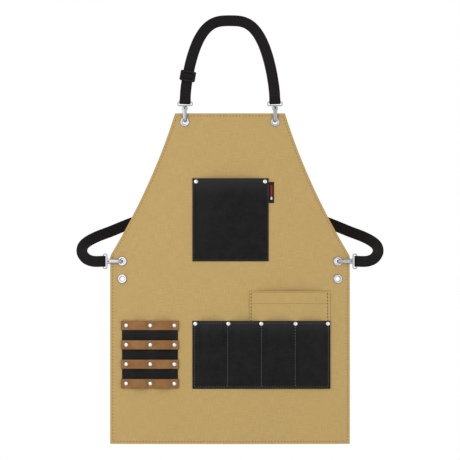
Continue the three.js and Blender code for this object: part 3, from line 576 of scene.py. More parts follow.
def refine(start, end, step, lines=()):
    """Places across a piece: close together at its edges and beside each stitch line, even between them."""
    fine = [start + inset for inset in EDGE_STEPS] + [end - inset for inset in EDGE_STEPS]
    for line in lines:
        fine += [line + offset for offset in GROOVE_STEPS]
    even = np.linspace(start, end, round((end - start) / step) + 1)
    kept = [place for place in even if min(abs(place - other) for other in fine) > step / 3]
    return np.array(sorted(set(fine + kept)))


def rounding(distance, radius):
    """Share of a sheet's half thickness at a distance from its edge, for a rounded edge."""
    share = np.clip(distance / radius, 0, 1)
    return lerp(LEAST_EDGE, 1, np.sqrt(1 - (1 - share) ** 2))


def groove(distance):
    """Depth of the pull of a stitch line on the cloth, at a distance from the line."""
    return GROOVE.depth * np.exp(-((distance / GROOVE.width) ** 2))


def patch(node, stuff, area, thickness, rear, look, across=(), upright=(), raised=None):
    """A piece on the front of the canvas, with grooves along stitch lines: across at heights, and upright at
    places along X. Returns the piece and a function that gives the depth of its front face."""
    x, z = np.meshgrid(refine(area.left, area.right, area.mesh, upright),
                       refine(area.bottom, area.top, area.mesh, across))

    def face_y(x, z):
        pulled = sum(groove(x - line) for line in upright) + sum(groove(z - line) for line in across)
        rise = raised(x, z) if raised else 0
        return canvas_y(x, z) - canvas_front - rear(x, z) - thickness - rise + pulled

    to_edge = np.minimum.reduce([x - area.left, area.right - x, z - area.bottom, area.top - z])
    rear_y = canvas_y(x, z) - canvas_front - rear(x, z)
    middle = (face_y(x, z) + rear_y) / 2
    half = (rear_y - face_y(x, z)) / 2 * rounding(to_edge, thickness / 2)
    worn = smoothstep(z, lerp(area.top, area.bottom, MOUTH_WEAR), area.top)
    piece = add_sheet(f"{node}_{stuff}", x, z, middle - half, middle + half, look, node,
                      edge=1 - smoothstep(to_edge, *PATCH_EDGE), mouth=worn)
    return piece, face_y


def unit(vectors):
    return vectors / np.linalg.norm(vectors, axis=-1, keepdims=True)


def distances_along(places):
    """Distance of each place from the first, along the run of places."""
    return np.concatenate([[0], np.cumsum(np.linalg.norm(np.diff(places, axis=0), axis=1))])


def read_along(table, distance, at):
    """Rows of a table, given at distances, read at others."""
    return np.stack([np.interp(at, distance, column) for column in table.T], axis=1)


def round_angles(sides):
    return np.arange(sides) * 2 * np.pi / sides


def stitch_places(run, thread):
    """Start and end places of each stitch along a run of places."""
    run = np.asarray(run, float)
    along = distances_along(run)
    count = max(int(along[-1] // thread.pitch), 1)
    middles = (np.arange(count) + 0.5) * along[-1] / count
    return [read_along(run, along, middles + way * thread.length / 2) for way in (-1, 1)]


def add_stitches(name, runs, thread, face_at):
    """Stitches along runs of places, each a short rounded bar that dips into the cloth at both ends.
    face_at gives the points and outward normals of the face they lie on, at places on it."""
    firsts, lasts = (np.concatenate(part) for part in zip(*(stitch_places(run, thread) for run in runs)))
    starts, ends = face_at(firsts)[0], face_at(lasts)[0]
    along = unit(ends - starts)
    across = unit(np.cross(along, face_at((firsts + lasts) / 2)[1]))
    up = np.cross(across, along)
    radius = thread.width / 2
    points, flat = [], []
    for place, swell, rise in STITCH_RINGS:
        centre = (starts + ends) / 2 + along * place * thread.length / 2 + up * rise * radius
        for angle in round_angles(STITCH_SIDES):
            side = across * np.cos(angle) + up * np.sin(angle) * STITCH_FLATNESS
            points.append(centre + side * swell * radius)
            flat.append((angle / 2, place * thread.length / 2))
    rings = np.arange(len(points)).reshape(-1, STITCH_SIDES)
    beside = np.roll(rings, -1, axis=1)
    template = np.stack([rings[:-1], rings[1:], beside[1:], beside[:-1]], axis=-1).reshape(-1, 4).tolist()
    template += [rings[0].tolist(), rings[-1][::-1].tolist()]
    stitch_starts = range(0, len(starts) * len(points), len(points))
    faces = [[first + i for i in face] for first in stitch_starts for face in template]
    places = np.stack(points, axis=1).reshape(-1, 3)
    add_piece(name, places, faces, thread.look, np.tile(flat, (len(starts), 1)))


def sew(name, runs, depth, thread, side=1):
    """Stitches on a face at a given depth: the front, or the back where side is -1."""

    def face_at(places):
        x, z = places.T
        slope_x = (depth(x + 1, z) - depth(x - 1, z)) / 2
        slope_z = (depth(x, z + 1) - depth(x, z - 1)) / 2
        normals = side * unit(np.stack([slope_x, -np.ones_like(x), slope_z], axis=1))
        return np.stack([x, depth(x, z), z], axis=1), normals

    add_stitches(name, runs, thread, face_at)


def loft(sections, closed_ends=True):
    """Points and faces of a skin over closed sections with the same number of points."""
    sections = np.asarray(sections, float)
    rings = np.arange(sections.shape[0] * sections.shape[1]).reshape(sections.shape[:2])
    beside = np.roll(rings, -1, axis=1)
    faces = np.stack([rings[:-1], beside[:-1], beside[1:], rings[1:]], axis=-1).reshape(-1, 4).tolist()
    if closed_ends:
        faces += [rings[0][::-1].tolist(), rings[-1].tolist()]
    return sections.reshape(-1, 3), faces


def lathe(profile, sides):
    """Points and faces of a closed profile of (radius, height) turned about the Y axis."""
    profile = np.asarray(profile, float)
    angles = round_angles(sides)
    rings = np.stack([
        profile[:, 0] * np.cos(angles)[:, None],
        np.broadcast_to(profile[:, 1], (sides, len(profile))),
        profile[:, 0] * np.sin(angles)[:, None],
    ], axis=-1)
    return loft(np.concatenate([rings, rings[:1]]), closed_ends=False)


def rod(radius, low, high, sides, bore=None):
    """A round bar along Y, or a tube where a bore is given."""
    if bore:
        return lathe([(bore, low), (radius, low), (radius, high), (bore, high), (bore, low)], sides)
    return lathe([(0, low), (radius, low), (radius, high), (0, high)], sides)


def mesh_of(parts, name, weld=1e-7):
    """One mesh of points and faces, with outward normals and no doubled points or loose edges."""
    made = bmesh.new()
    for points, faces in parts:
        corners = [made.verts.new(point) for point in np.asarray(points) * MM]
        for face in faces:
            made.faces.new([corners[i] for i in face])
    bmesh.ops.remove_doubles(made, verts=made.verts, dist=weld)
    bmesh.ops.dissolve_degenerate(made, edges=made.edges, dist=weld)
    loose = [edge for edge in made.edges if not edge.link_faces]
    bmesh.ops.delete(made, geom=loose, context="EDGES")
    bmesh.ops.recalc_face_normals(made, faces=made.faces)
    mesh = bpy.data.meshes.new(name)
    made.to_mesh(mesh)
    made.free()
    return mesh


def settled(mesh, *modifiers):
    """A copy of a mesh with modifiers applied, each given as its type and settings."""
    holder = link("holder", mesh)
    for kind, settings in modifiers:
        modifier = holder.modifiers.new(kind, kind)
        for name, value in settings.items():
            setattr(modifier, name, value)
    result = bpy.data.meshes.new_from_object(holder.evaluated_get(bpy.context.evaluated_depsgraph_get()))
    bpy.data.objects.remove(holder)
    return result


def fused(parts, name, voxel=0.42, rounds=5):
    """Overlapping closed parts as one casting with softened inner corners, and a share of painted light on
    its sides.
    """
    remesh = ("REMESH", {"mode": "VOXEL", "voxel_size": voxel * MM})
    smooth = ("SMOOTH", {"factor": 0.5, "iterations": rounds})
    mesh = settled(mesh_of(parts, name), remesh, smooth)
    facing = np.abs(read_points(mesh, "normal")[:, 1])
    # Painted light: the sides that turn away from front and back carry the edge share that the material
    # tints
    set_share(mesh, "edge", smoothstep(1 - facing, *PAINTED_SIDE_SPAN))
    return mesh


def stand_on(x, z, depth=canvas_y, turn=0.0, step=2):
    """Matrix of a place on a sheet: X along the sheet, Y back through it, Z up it, turned about Y."""
    right = Vector((2 * step, depth(x + step, z) - depth(x - step, z), 0)).normalized()
    up = Vector((0, depth(x, z + step) - depth(x, z - step), 2 * step))
    back = up.cross(right).normalized()
    basis = Matrix((right, back, right.cross(back))).transposed().to_4x4()
    place = Vector((x, depth(x, z), z)) * MM
    return Matrix.Translation(place) @ basis @ Matrix.Rotation(turn, 4, "Y")


# Apron body
eyelet_rows = [
    ("neck", NECK_EYELET.x, NECK_EYELET.z), ("waist", WAIST_EYELET.x, WAIST_EYELET.z),
    ("spare", WAIST_EYELET.x, WAIST_EYELET.spare_z),
]
eyelets = [
    Sizes(name=f"{row}_eyelet_{side}", x=sign * x, z=z) for side, sign in SIDES for row, x, z in eyelet_rows]


def add_body():
    """The canvas, with a hem turned to the back all round and holes for the eyelets."""
    stitch_steps = [HEM.stitch + offset for offset in GROOVE_STEPS]
    insets = np.array(sorted([*EDGE_STEPS, BODY_GRID.inset, *stitch_steps, HEM.width - HEM.step]))
    share = np.pad(np.linspace(-1, 1, BODY_GRID.columns), len(insets), constant_values=(-1, 1))
    grow = np.concatenate([insets - HEM.width, np.zeros(BODY_GRID.columns), (HEM.width - insets)[::-1]])
    heights = np.linspace(hem_z + HEM.width, APRON.top_z - HEM.width, BODY_GRID.rows)
    z_rows = np.concatenate([hem_z + insets, heights, (APRON.top_z - insets)[::-1]])
    z = np.repeat(z_rows[:, None], len(share), axis=1)
    x = share * (edge_x(z) - HEM.width) + grow
    to_side = np.where(grow == 0, APRON.width, HEM.width - np.abs(grow)) + 0 * z
    to_edge = np.minimum(to_side, np.minimum(z - hem_z, APRON.top_z - z))
    round_edge = rounding(to_edge, THICK.canvas)
    half = THICK.canvas / 2 * round_edge
    in_hem = 1 - smoothstep(to_edge, HEM.width - HEM.step, HEM.width)
    front_y = canvas_y(x, z) - half + groove(to_edge - HEM.stitch)
    back_y = canvas_y(x, z) + half + HEM.extra * in_hem * round_edge
    body = add_sheet("body_canvas", x, z, front_y, back_y, canvas, "apron_body",
                     edge=1 - smoothstep(to_edge, *BODY_EDGE))
    drills = []
    for eyelet in eyelets:
        points, faces = rod(EYELET.tube + 2 * GAP, -DRILL_REACH, DRILL_REACH, EYELET.sides)
        place = stand_on(eyelet.x, eyelet.z)
        drills.append(([tuple(place @ (Vector(point) * MM) / MM) for point in points], faces))
    cutter = link("cutter", mesh_of(drills, "cutter"))
    cut = {"operation": "DIFFERENCE", "object": cutter, "solver": "EXACT"}
    body.data = settled(body.data, ("BOOLEAN", cut))
    bpy.data.objects.remove(cutter)
    return body


def hem_runs(points=200):
    side_z = np.linspace(hem_z + HEM.stitch, APRON.top_z - HEM.stitch, points)
    runs = []
    for _, sign in SIDES:
        runs.append(np.stack([sign * (edge_x(side_z) - HEM.stitch), side_z], axis=1))
    for z in (hem_z + HEM.stitch, APRON.top_z - HEM.stitch):
        reach = edge_x(z) - HEM.stitch
        runs.append([(-reach, z), (reach, z)])
    return runs


def body_front(x, z):
    return canvas_y(x, z) - canvas_front + GROOVE.depth


def body_back(x, z):
    return canvas_y(x, z) + canvas_front - SEAM_SINK


def hem_back(x, z):
    return body_back(x, z) + HEM.extra


body_canvas = add_body()
sew("body_hem_stitches", hem_runs(), body_front, hem_thread)
sew("body_hem_back_stitches", hem_runs(), hem_back, hem_thread, side=-1)


# Chest pocket and its tag
def stitch_lines(pocket, stitch):
    return (pocket.left + stitch.side, pocket.right - stitch.side,
            pocket.bottom + stitch.bottom, pocket.top - stitch.top)


def frame_runs(left, right, bottom, top):
    return [[(left, bottom), (left, top)], [(right, bottom), (right, top)],
            [(left, bottom), (right, bottom)], [(left, top), (right, top)]]


chest_lines = stitch_lines(CHEST, CHEST_STITCH)
chest_pocket, chest_front = patch(
    "chest_pocket", "leather", CHEST, THICK.leather, chest_rear, black_leather,
    across=chest_lines[2:], upright=chest_lines[:2])
sew("chest_pocket_stitches", frame_runs(*chest_lines), chest_front, chest_thread)
side_tag, _ = patch("side_tag", "tape", TAG, THICK.tag, panel_rear, tag_tape)


# Hip pocket and the tool pocket over it
def hip_hem(x, z):
    """The pocket's mouth is turned in twice, so it stands proud."""
    hem_low = HIP.top - HIP_HEM.height
    return HIP_HEM.rise * smoothstep(z, hem_low - HIP_HEM.step, hem_low)


hip_sides = (HIP.left + HIP_STITCH.left, HIP.right - HIP_STITCH.right)
hip_hem_line, hip_top_line = HIP.top - HIP_STITCH.hem, HIP.top - HIP_STITCH.top
hip_pocket, hip_front = patch(
    "hip_pocket", "canvas", HIP, THICK.canvas, hip_rear, canvas,
    across=(hip_hem_line, hip_top_line), upright=hip_sides, raised=hip_hem)
hip_runs = frame_runs(*hip_sides, HIP.bottom + HIP_STITCH.left, hip_top_line)
sew("hip_pocket_side_stitches", hip_runs[:2], hip_front, hip_side_thread)
hip_runs.append([(x, hip_hem_line) for x in hip_sides])
sew("hip_pocket_stitches", hip_runs[2:], hip_front, hip_thread)

tool_lines = stitch_lines(TOOLS, TOOL_STITCH)
tool_pocket, tool_front = patch(
    "tool_pocket", "leather", TOOLS, THICK.leather, tool_rear, black_leather,
    across=tool_lines[2:], upright=[*tool_lines[:2], *TOOL_DIVIDERS])
sew("tool_pocket_stitches", frame_runs(*tool_lines), tool_front, tool_thread)
divider_runs = [[(x, tool_lines[2]), (x, tool_lines[3])] for x in TOOL_DIVIDERS]
sew("tool_divider_stitches", divider_runs, tool_front, divider_thread)
leather_seams = [*frame_runs(*chest_lines)[:3], *frame_runs(*tool_lines)[:3], *divider_runs]
sew("leather_seam_back_stitches", leather_seams, body_back, seam_thread, side=-1)
sew("hip_seam_back_stitches", hip_runs[:3], body_back, hip_thread, side=-1)

# Tool holder
panel_area = Sizes(
    left=HOLDER_PANEL.left, right=HOLDER_PANEL.right, top=HOLDER.top - HOLDER_PANEL.inset,
    bottom=holder_tops[-1] - HOLDER.strap + HOLDER_PANEL.inset, mesh=HOLDER_PANEL.mesh)
holder_panel, _ = patch("holder_panel", "leather", panel_area, THICK.leather, panel_rear, black_leather)
holder_straps = []
for row, top in enumerate(holder_tops):
    area = Sizes(left=HOLDER.left, right=HOLDER.right, bottom=top - HOLDER.strap, top=top, mesh=HOLDER.mesh)
    strap, _ = patch(f"holder_strap_{row + 1}", "leather", area, THICK.leather, strap_rear, brown_leather)
    holder_straps.append(strap)


# Rivets and eyelets
def radii(mesh):
    """Distance of each point of a mesh from the Y axis."""
    return np.hypot(*read_points(mesh, "co")[:, ::2].T) / MM


def add_rivet(name, x, z, rear, depth=canvas_y):
    """A rivet through the leather at a distance from the sheet it holds to, whose depth is given."""
    front = -(canvas_front + rear + THICK.leather + GAP)
    back = canvas_front + GAP
    angles = np.linspace(0, np.pi / 2, RIVET.arc)
    crown = RIVET.dome - RIVET.rim
    dome = zip(RIVET.cap * np.sin(angles), front - RIVET.rim - crown * np.cos(angles))
    tail = zip(RIVET.back * np.cos(angles[::2]), back + RIVET.back_height * np.sin(angles[::2]))
    profile = [*dome, (RIVET.cap, front), (RIVET.shank, front), (RIVET.shank, back), *tail]
    mesh = mesh_of([lathe(profile, RIVET.sides)], name)
    radius = radii(mesh)
    # Painted shade: the dome is tinted darker from the bright share of its radius out to the rim
    set_share(mesh, "edge", smoothstep(radius, RIVET.bright * RIVET.cap, RIVET.cap))
    mesh.transform(stand_on(x, z, depth))
    add_object(f"{name}_metal", mesh, rivet_steel, stands_for=[name])


def add_eyelet(eyelet):
    face = canvas_front + GAP
    washer = face + EYELET.washer
    middle, reach = (EYELET.hole + EYELET.front) / 2, (EYELET.front - EYELET.hole) / 2
    angles = np.linspace(0, np.pi, EYELET.arc)
    rise = EYELET.crest * np.sin(angles) ** EYELET.roll_power
    roll = zip(middle - reach * np.cos(angles), -face - rise)
    rim = EYELET.back - EYELET.bevel
    profile = [(EYELET.hole, washer), *roll, (EYELET.tube, -face), (EYELET.tube, face), (rim, face),
               (EYELET.back, face + EYELET.bevel), (rim, washer), (EYELET.hole, washer)]
    mesh = mesh_of([lathe(profile, EYELET.sides)], eyelet.name)
    radius = radii(mesh)
    # Painted shade: the rim at the hole and the outer part of the roll are tinted darker
    inner_shade = 1 - smoothstep(radius, EYELET.hole, EYELET.hole + EYELET_SHADE_RIM.inner)
    outer_shade = smoothstep(radius, middle + EYELET_SHADE_RIM.outer_share * reach, EYELET.front)
    set_share(mesh, "edge", np.maximum(outer_shade, inner_shade))
    mesh.transform(stand_on(eyelet.x, eyelet.z))
    add_object(f"{eyelet.name}_metal", mesh, eyelet_steel, stands_for=[eyelet.name])


for i, x in enumerate([CHEST.left + RIVET_INSET.x, CHEST.right - RIVET_INSET.x]):
    z = CHEST.top - RIVET_INSET.z
    add_rivet(f"chest_rivet_{i + 1}", x, z, chest_rear(x, z))
for i, x in enumerate(TOOL_RIVETS.x):
    name = f"pocket_rivet_{i + 1}"
    if x < HIP.left or x > HIP.right - HIP.margin:
        add_rivet(name, x, TOOL_RIVETS.z, tool_rear(x, TOOL_RIVETS.z))
    else:
        add_rivet(name, x, TOOL_RIVETS.z, GAP, hip_y)
for row, top in enumerate(holder_tops):
    for i, x in enumerate(holder_rivet_x):
        z = top - HOLDER.strap / 2
        add_rivet(f"holder_rivet_{row + 1}_{i + 1}", x, z, strap_rear(x, z))
for eyelet in eyelets:
    add_eyelet(eyelet)


# Snap hooks
def ellipse(width, height, sides=24, power=2.0):
    """Points round a flattened circle, squarer at a higher power, as (across, up) places."""
    angles = round_angles(sides)
    circle = np.stack([np.cos(angles), np.sin(angles)], axis=1)
    return np.sign(circle) * np.abs(circle) ** (2 / power) * (width / 2, height / 2)


def upright_bar(ring, low_z, top_z):
    """An upright bar with a section given by its (x, y) places."""
    return loft([np.column_stack([ring, np.full(len(ring), z)]) for z in (low_z, top_z)])


def column(radius, low_z, top_z):
    return upright_bar(ellipse(2 * radius, 2 * radius, sides=32) + (0, CLIP.swivel_y), low_z, top_z)


def block(width, back_y, front_y, low_z, top_z, centre_x=0.0, power=6.0):
    """A box with rounded upright edges."""
    ring = ellipse(width, back_y - front_y, sides=28, power=power)
    return upright_bar(ring + (centre_x, (back_y + front_y) / 2), low_z, top_z)


def tube(outer, inner, low_z, top_z):
    """A bored column on the swivel's axis."""
    points, faces = rod(outer, low_z, top_z, sides=36, bore=inner)
    return points[:, [0, 2, 1]] + (0, CLIP.swivel_y, 0), faces


def cross_pin(radius, length, centre_x=0.0, bore=None):
    """A pin along X through the gate's pivot."""
    points, faces = rod(radius, centre_x - length / 2, centre_x + length / 2, sides=24, bore=bore)
    return points[:, [1, 0, 2]] + (0, CLIP.gate_y, CLIP.pivot_z), faces


def hook_mesh():
    bend = (CLIP.gate_y - CLIP.spine_y) / 2
    bend_y, bend_z = (CLIP.gate_y + CLIP.spine_y) / 2, CLIP.low_z + bend
    way = [(CLIP.spine_y, bend_z + CLIP.straight, 0.0)]
    for a in np.linspace(math.pi, 2 * math.pi, CLIP.bend_points):
        way.append((bend_y + bend * math.cos(a), bend_z + bend * math.sin(a), a - math.pi))
    way.append((CLIP.gate_y, CLIP.tip_z, math.pi))
    wire = []
    for y, z, turn in way:
        section = ellipse(CLIP.wire_width, CLIP.wire)
        wire.append([(x, y + up * math.cos(turn), z + up * math.sin(turn)) for x, up in section])
    spine = []
    for z, half in SPINE_OUTLINE:
        ring = ellipse(2 * half, CLIP.wire, sides=32, power=3.0) + (0, CLIP.spine_y)
        spine.append(np.column_stack([ring, np.full(len(ring), z)]))
    low_z, top_z = CLIP.barrel_low_z, CLIP.barrel_top_z
    step_z = low_z + SWIVEL.head_height + 2 * GAP
    shoulder_back = CLIP.swivel_y - CLIP.barrel + CLIP.barrel_lap
    parts = [loft(wire), loft(spine), tube(CLIP.barrel, SWIVEL.bore, step_z, top_z),
             tube(CLIP.barrel, SWIVEL.counterbore, low_z, step_z + CLIP.overlap),
             block(CLIP.shoulder, shoulder_back, CLIP.spine_y, low_z, top_z)]
    ear_back = CLIP.gate_y - GATE.knuckle + CLIP.overlap
    ear_low, ear_top = CLIP.pivot_z - GATE.knuckle, top_z - EAR.drop
    for _, sign in SIDES:
        x = sign * (EAR.space + EAR.width) / 2
        parts.append(block(EAR.width, ear_back, EAR.front_y, ear_low, ear_top, x))
        parts.append(cross_pin(GATE.knuckle, EAR.width, x, bore=GATE.pin_hole))
    return fused(parts, "hook")


def pin_head_mesh():
    """The domed end of the pin that shows on the hook's spine."""
    face = CLIP.spine_y - CLIP.wire / 2
    angles = np.linspace(0, np.pi / 2, PIN_HEAD.arc)
    dome = zip(PIN_HEAD.radius * np.sin(angles), face - PIN_HEAD.radius / 2 * np.cos(angles))
    back = face + PIN_HEAD.sink
    points, faces = lathe([*dome, (PIN_HEAD.radius, back), (0, back)], PIN_HEAD.sides)
    return mesh_of([(points + (0, 0, PIN_HEAD.z), faces)], "pin head")


def gate_mesh():
    front_y, back_y = CLIP.gate_y - GATE.thickness / 2, CLIP.gate_y + GATE.thickness / 2
    pad_top, pad_back = CLIP.pivot_z - THUMB_PAD.drop, back_y + THUMB_PAD.lift
    parts = [cross_pin(GATE.knuckle, GATE.width), cross_pin(GATE.pin, EAR.space + 2 * EAR.width),
             block(GATE.width, back_y, front_y, CLIP.tip_z + GAP, CLIP.pivot_z, power=3.5),
             block(THUMB_PAD.width, pad_back, CLIP.gate_y, pad_top - THUMB_PAD.height, pad_top, power=3.0)]
    return fused(parts, "gate", voxel=0.34, rounds=3)


def rounded_rectangle(width, height, corner, per_corner=8):
    """Corner arcs joined round a rectangle, as (across, up) places."""
    points = []
    for quarter, (sign_x, sign_z) in enumerate([(1, 1), (-1, 1), (-1, -1), (1, -1)]):
        centre = np.array([sign_x * (width / 2 - corner), sign_z * (height / 2 - corner)])
        for angle in np.linspace(0, np.pi / 2, per_corner) + quarter * np.pi / 2:
            points.append(centre + (corner * math.cos(angle), corner * math.sin(angle)))
    return np.array(points)


def loop_mesh():
    """A ring of round bar for the webbing, with the post that turns in the hook."""
    line = rounded_rectangle(LOOP.width - LOOP.bar, LOOP.height - LOOP.bar, LOOP.corner)
    centre_z = loop_low_z + LOOP.height / 2
    ring = ellipse(LOOP.bar, LOOP.bar, sides=16, power=2.4)
    sections = []
    for here, before, after in zip(line, np.roll(line, 1, axis=0), np.roll(line, -1, axis=0)):
        out_x, out_z = unit(np.array([after[1] - before[1], before[0] - after[0]]))
        sections.append([(here[0] + out_x * out, CLIP.swivel_y + back, centre_z + here[1] + out_z * out)
                         for out, back in ring])
    head_low, hub_low = CLIP.barrel_low_z + GAP, CLIP.barrel_top_z + GAP
    parts = [loft([*sections, sections[0]], closed_ends=False),
             column(HUB.radius, hub_low, hub_low + HUB.height),
             column(SWIVEL.post, head_low, hub_low + HUB.seat),
             column(SWIVEL.head, head_low, head_low + SWIVEL.head_height)]
    return fused(parts, "loop", voxel=0.36, rounds=4)


clip_places = {}
for side, sign in SIDES:
    clip_places[f"neck_{side}"] = stand_on(sign * NECK_EYELET.x, NECK_EYELET.z)
    clip_places[f"waist_{side}"] = stand_on(sign * WAIST_EYELET.x, WAIST_EYELET.z, turn=sign * math.pi / 2)
clip_meshes = {"hook": hook_mesh(), "gate": gate_mesh(), "loop": loop_mesh()}
for clip, place in clip_places.items():
    for kind, mesh in clip_meshes.items():
        node = f"{clip}_{kind}"
        moved = mesh.copy()
        moved.transform(place)
        add_object(f"{node}_metal", moved, hook_steel, "apron" if kind == "loop" else node, [node])
    # The pin head's dark material is painted shade
    head = pin_head_mesh()
    head.transform(place)
    add_object(f"{clip}_pin_head_metal", head, pin_shade_steel, f"{clip}_hook")


# Straps
class Line:
    """A smooth line through places, read by the distance along it."""

    def __init__(self, places, per_span=150):
        places = np.asarray(places, float)
        padded = [2 * places[0] - places[1], *places, 2 * places[-1] - places[-2]]
        share = np.linspace(0, 1, per_span, endpoint=False)[:, None]
        rows = []
        for before, start, end, after in zip(padded, padded[1:], padded[2:], padded[3:]):
            d0, d1, d2 = (np.linalg.norm(run) ** 0.5 for run in (start - before, end - start, after - end))
            leave = ((start - before) / d0 - (end - before) / (d0 + d1) + (end - start) / d1) * d1
            arrive = ((end - start) / d1 - (after - start) / (d1 + d2) + (after - end) / d2) * d1
            bend = -3 * start + 3 * end - 2 * leave - arrive
            twist = 2 * start - 2 * end + leave + arrive
            rows.append(start + leave * share + bend * share**2 + twist * share**3)
        self.places = np.concatenate([*rows, places[-1:]])
        self.distance = distances_along(self.places)
        self.slopes = unit(np.gradient(self.places, self.distance, axis=0))
        self.length = self.distance[-1]

    def strap_frame(self, distance, skew):
        """Places, and directions along, across and out of webbing, turned from the front by a skew."""
        place = read_along(self.places, self.distance, distance)
        along = unit(read_along(self.slopes, self.distance, distance))
        across = np.stack([along[:, 2], skew, -along[:, 0]], axis=1)
        across = unit(across - along * np.sum(across * along, axis=1, keepdims=True))
        return place, along, across, np.cross(across, along)


def strap_section():
    """Places round the webbing's section, with lengthwise ribs, as (across, out) places."""
    half, edge = STRAP.width / 2, STRAP.edge
    corner = edge * (1 - np.cos(np.linspace(0, np.pi / 2, STRAP.edge_points)))
    ribs = np.linspace(-half + edge, half - edge, STRAP.ribs * STRAP.rib_points + 1)
    across = np.concatenate([corner - half, ribs[1:-1], (half - corner)[::-1]])
    to_edge = half - np.abs(across)
    rise = THICK.webbing / 2 * np.sqrt(np.clip(1 - (1 - np.clip(to_edge / edge, 0, 1)) ** 2, 0, 1))
    turns = STRAP.ribs * (across / (2 * (half - edge)) + 0.5)
    rise = rise - (to_edge > edge) * STRAP.rib_depth * (0.5 + 0.5 * np.cos(2 * np.pi * turns))
    outer = np.column_stack([across, rise])
    return np.concatenate([outer, (outer * (1, -1))[-2:0:-1]])


def run_places(rows):
    """Distances and offsets at close steps through (distance, offset) rows, eased between the rows."""
    distances, offsets = [], []
    for (start, low), (end, high) in zip(rows, rows[1:]):
        count = max(int(abs(end - start) / STRAP.step), 2)
        share = np.arange(count) / count
        distances.append(lerp(start, end, share))
        offsets.append(lerp(low, high, smoothstep(share, 0, 1)))
    distances.append([rows[-1][0]])
    offsets.append([rows[-1][1]])
    return np.concatenate(distances), np.concatenate(offsets)


def add_strap(node, frame_at, length, start_tail, main, end_tail):
    """Webbing from bar to bar. Each end goes round its bar and comes back as a tail on the inner side."""
    stations = []

    def add_run(rows, facing):
        distance, offset = run_places(rows)
        place, _, across, out = frame_at(distance)
        stations.append((place + out * offset[:, None], across, out * facing))

    def add_turn(distance, to_bar, start):
        angles = np.linspace(0, np.pi, STRAP.turn_points)[1:-1, None]
        place, along, across, out = frame_at(np.array([distance]))
        outward = out * start * np.cos(angles) + along * to_bar * np.sin(angles)
        stations.append((place + outward * STRAP.turn, np.repeat(across, len(angles), axis=0), outward))

    add_run(start_tail, -1)
    add_turn(0, -1, -1)
    add_run(main, 1)
    add_turn(length, 1, 1)
    add_run(end_tail, -1)
    place, across, out = (np.concatenate(part) for part in zip(*stations))
    section = strap_section()
    places, faces = loft(place[:, None] + across[:, None] * section[:, :1] + out[:, None] * section[:, 1:])
    along = distances_along(place)
    u, v = np.broadcast_arrays(section[:, 0] + STRAP.width / 2, along[:, None])
    edge = 1 - smoothstep(STRAP.width / 2 - np.abs(section[:, 0]), *STRAP_EDGE)
    add_piece(f"{node}_webbing", places, faces, webbing, np.stack([u, v], axis=-1).reshape(-1, 2), [node],
              edge=np.tile(edge, len(along)))


def end_lap(length, tail, side):
    return [(length - tail - STRAP.ease, 0), (length - tail, side * STRAP.lap),
            (length - STRAP.lap_start, side * STRAP.lap), (length, side * STRAP.turn)]


def flip_end(rows, length):
    return [(length - distance, offset) for distance, offset in reversed(rows)]


def bar_place(clip):
    return np.array(clip_places[clip] @ (Vector((0, CLIP.swivel_y, bar_z)) * MM)) / MM


neck_bars = [bar_place(f"neck_{side}") for side, _ in SIDES]
neck_places = []
for angle in np.linspace(0, np.pi, NECK_STRAP.points + 1)[1:-1]:
    over, up = -math.cos(angle), math.sin(angle)
    spread = (1 - up**NECK_STRAP.rise_power) ** NECK_STRAP.arch_power
    x = NECK_EYELET.x * math.copysign(spread, over)
    y = lerp(neck_bars[0][1], THICK.webbing / 2, up**NECK_STRAP.lean_power)
    neck_places.append((x, y, neck_bars[0][2] * (1 - up)))
neck_line = Line([neck_bars[0], *neck_places, neck_bars[1]])
bar_slope = 2 * WORN.wrap_depth * NECK_EYELET.x / half_width**2


def neck_frame(distance):
    """The neck strap lies square on the bars and faces the front above them."""
    from_bar = np.minimum(distance, neck_line.length - distance)
    skew = -bar_slope * (1 - smoothstep(from_bar, STRAP.lap_start, NECK_STRAP.settle))
    return neck_line.strap_frame(distance, skew)


slider_at, clear = SLIDER.distance, SLIDER.clear
slider_low, slider_top = slider_at - SLIDER.height / 2, slider_at + SLIDER.height / 2
tail_clear = clear + 2 * STRAP.lap
neck_main = [
    (0, STRAP.turn), (STRAP.lap_start, STRAP.lap), (slider_low - STRAP.ease, STRAP.lap),
    (slider_low, -clear), (slider_low + SLIDER.bar, -clear),
    (slider_at - SLIDER.bar / 2, clear), (slider_at + SLIDER.bar / 2, clear),
    (slider_top - SLIDER.bar, -clear), (slider_top, -clear), (slider_top + STRAP.ease, 0),
    *end_lap(neck_line.length, NECK_STRAP.tail, 1),
]
neck_start_tail = [
    (slider_at + SLIDER_EDGE.tail_reach, -clear), (slider_at - SLIDER_EDGE.tail_reach, -clear),
    (slider_low + SLIDER.bar, -tail_clear), (slider_low, -tail_clear), (slider_low - STRAP.ease, -STRAP.lap),
    (STRAP.lap_start, -STRAP.lap), (0, -STRAP.turn),
]
neck_end_tail = end_lap(neck_line.length, NECK_STRAP.tail, -1)[:0:-1]
add_strap("neck_strap", neck_frame, neck_line.length, neck_start_tail, neck_main, neck_end_tail)

waist_places = [(-x, y, z) for x, y, z in WAIST_ROUTE] + [WAIST_BACK] + WAIST_ROUTE[::-1]
waist_line = Line([bar_place("waist_left"), *waist_places, bar_place("waist_right")])


def waist_frame(distance):
    return waist_line.strap_frame(distance, np.zeros(len(distance)))


waist_end = end_lap(waist_line.length, WAIST_TAIL, 1)
waist_end_tail = end_lap(waist_line.length, WAIST_TAIL, -1)[:0:-1]
add_strap("waist_strap", waist_frame, waist_line.length, flip_end(waist_end_tail, waist_line.length),
          [*flip_end(waist_end, waist_line.length), *waist_end], waist_end_tail)


# Box stitching that closes each sewn strap end
def box_runs(near, far):
    low, high = sorted((near, far))
    reach = STRAP_BOX.reach
    corners = [(-reach, low), (reach, low), (reach, high), (-reach, high), (-reach, low)]
    return [*zip(corners, corners[1:]), (corners[0], corners[2]), (corners[1], corners[3])]


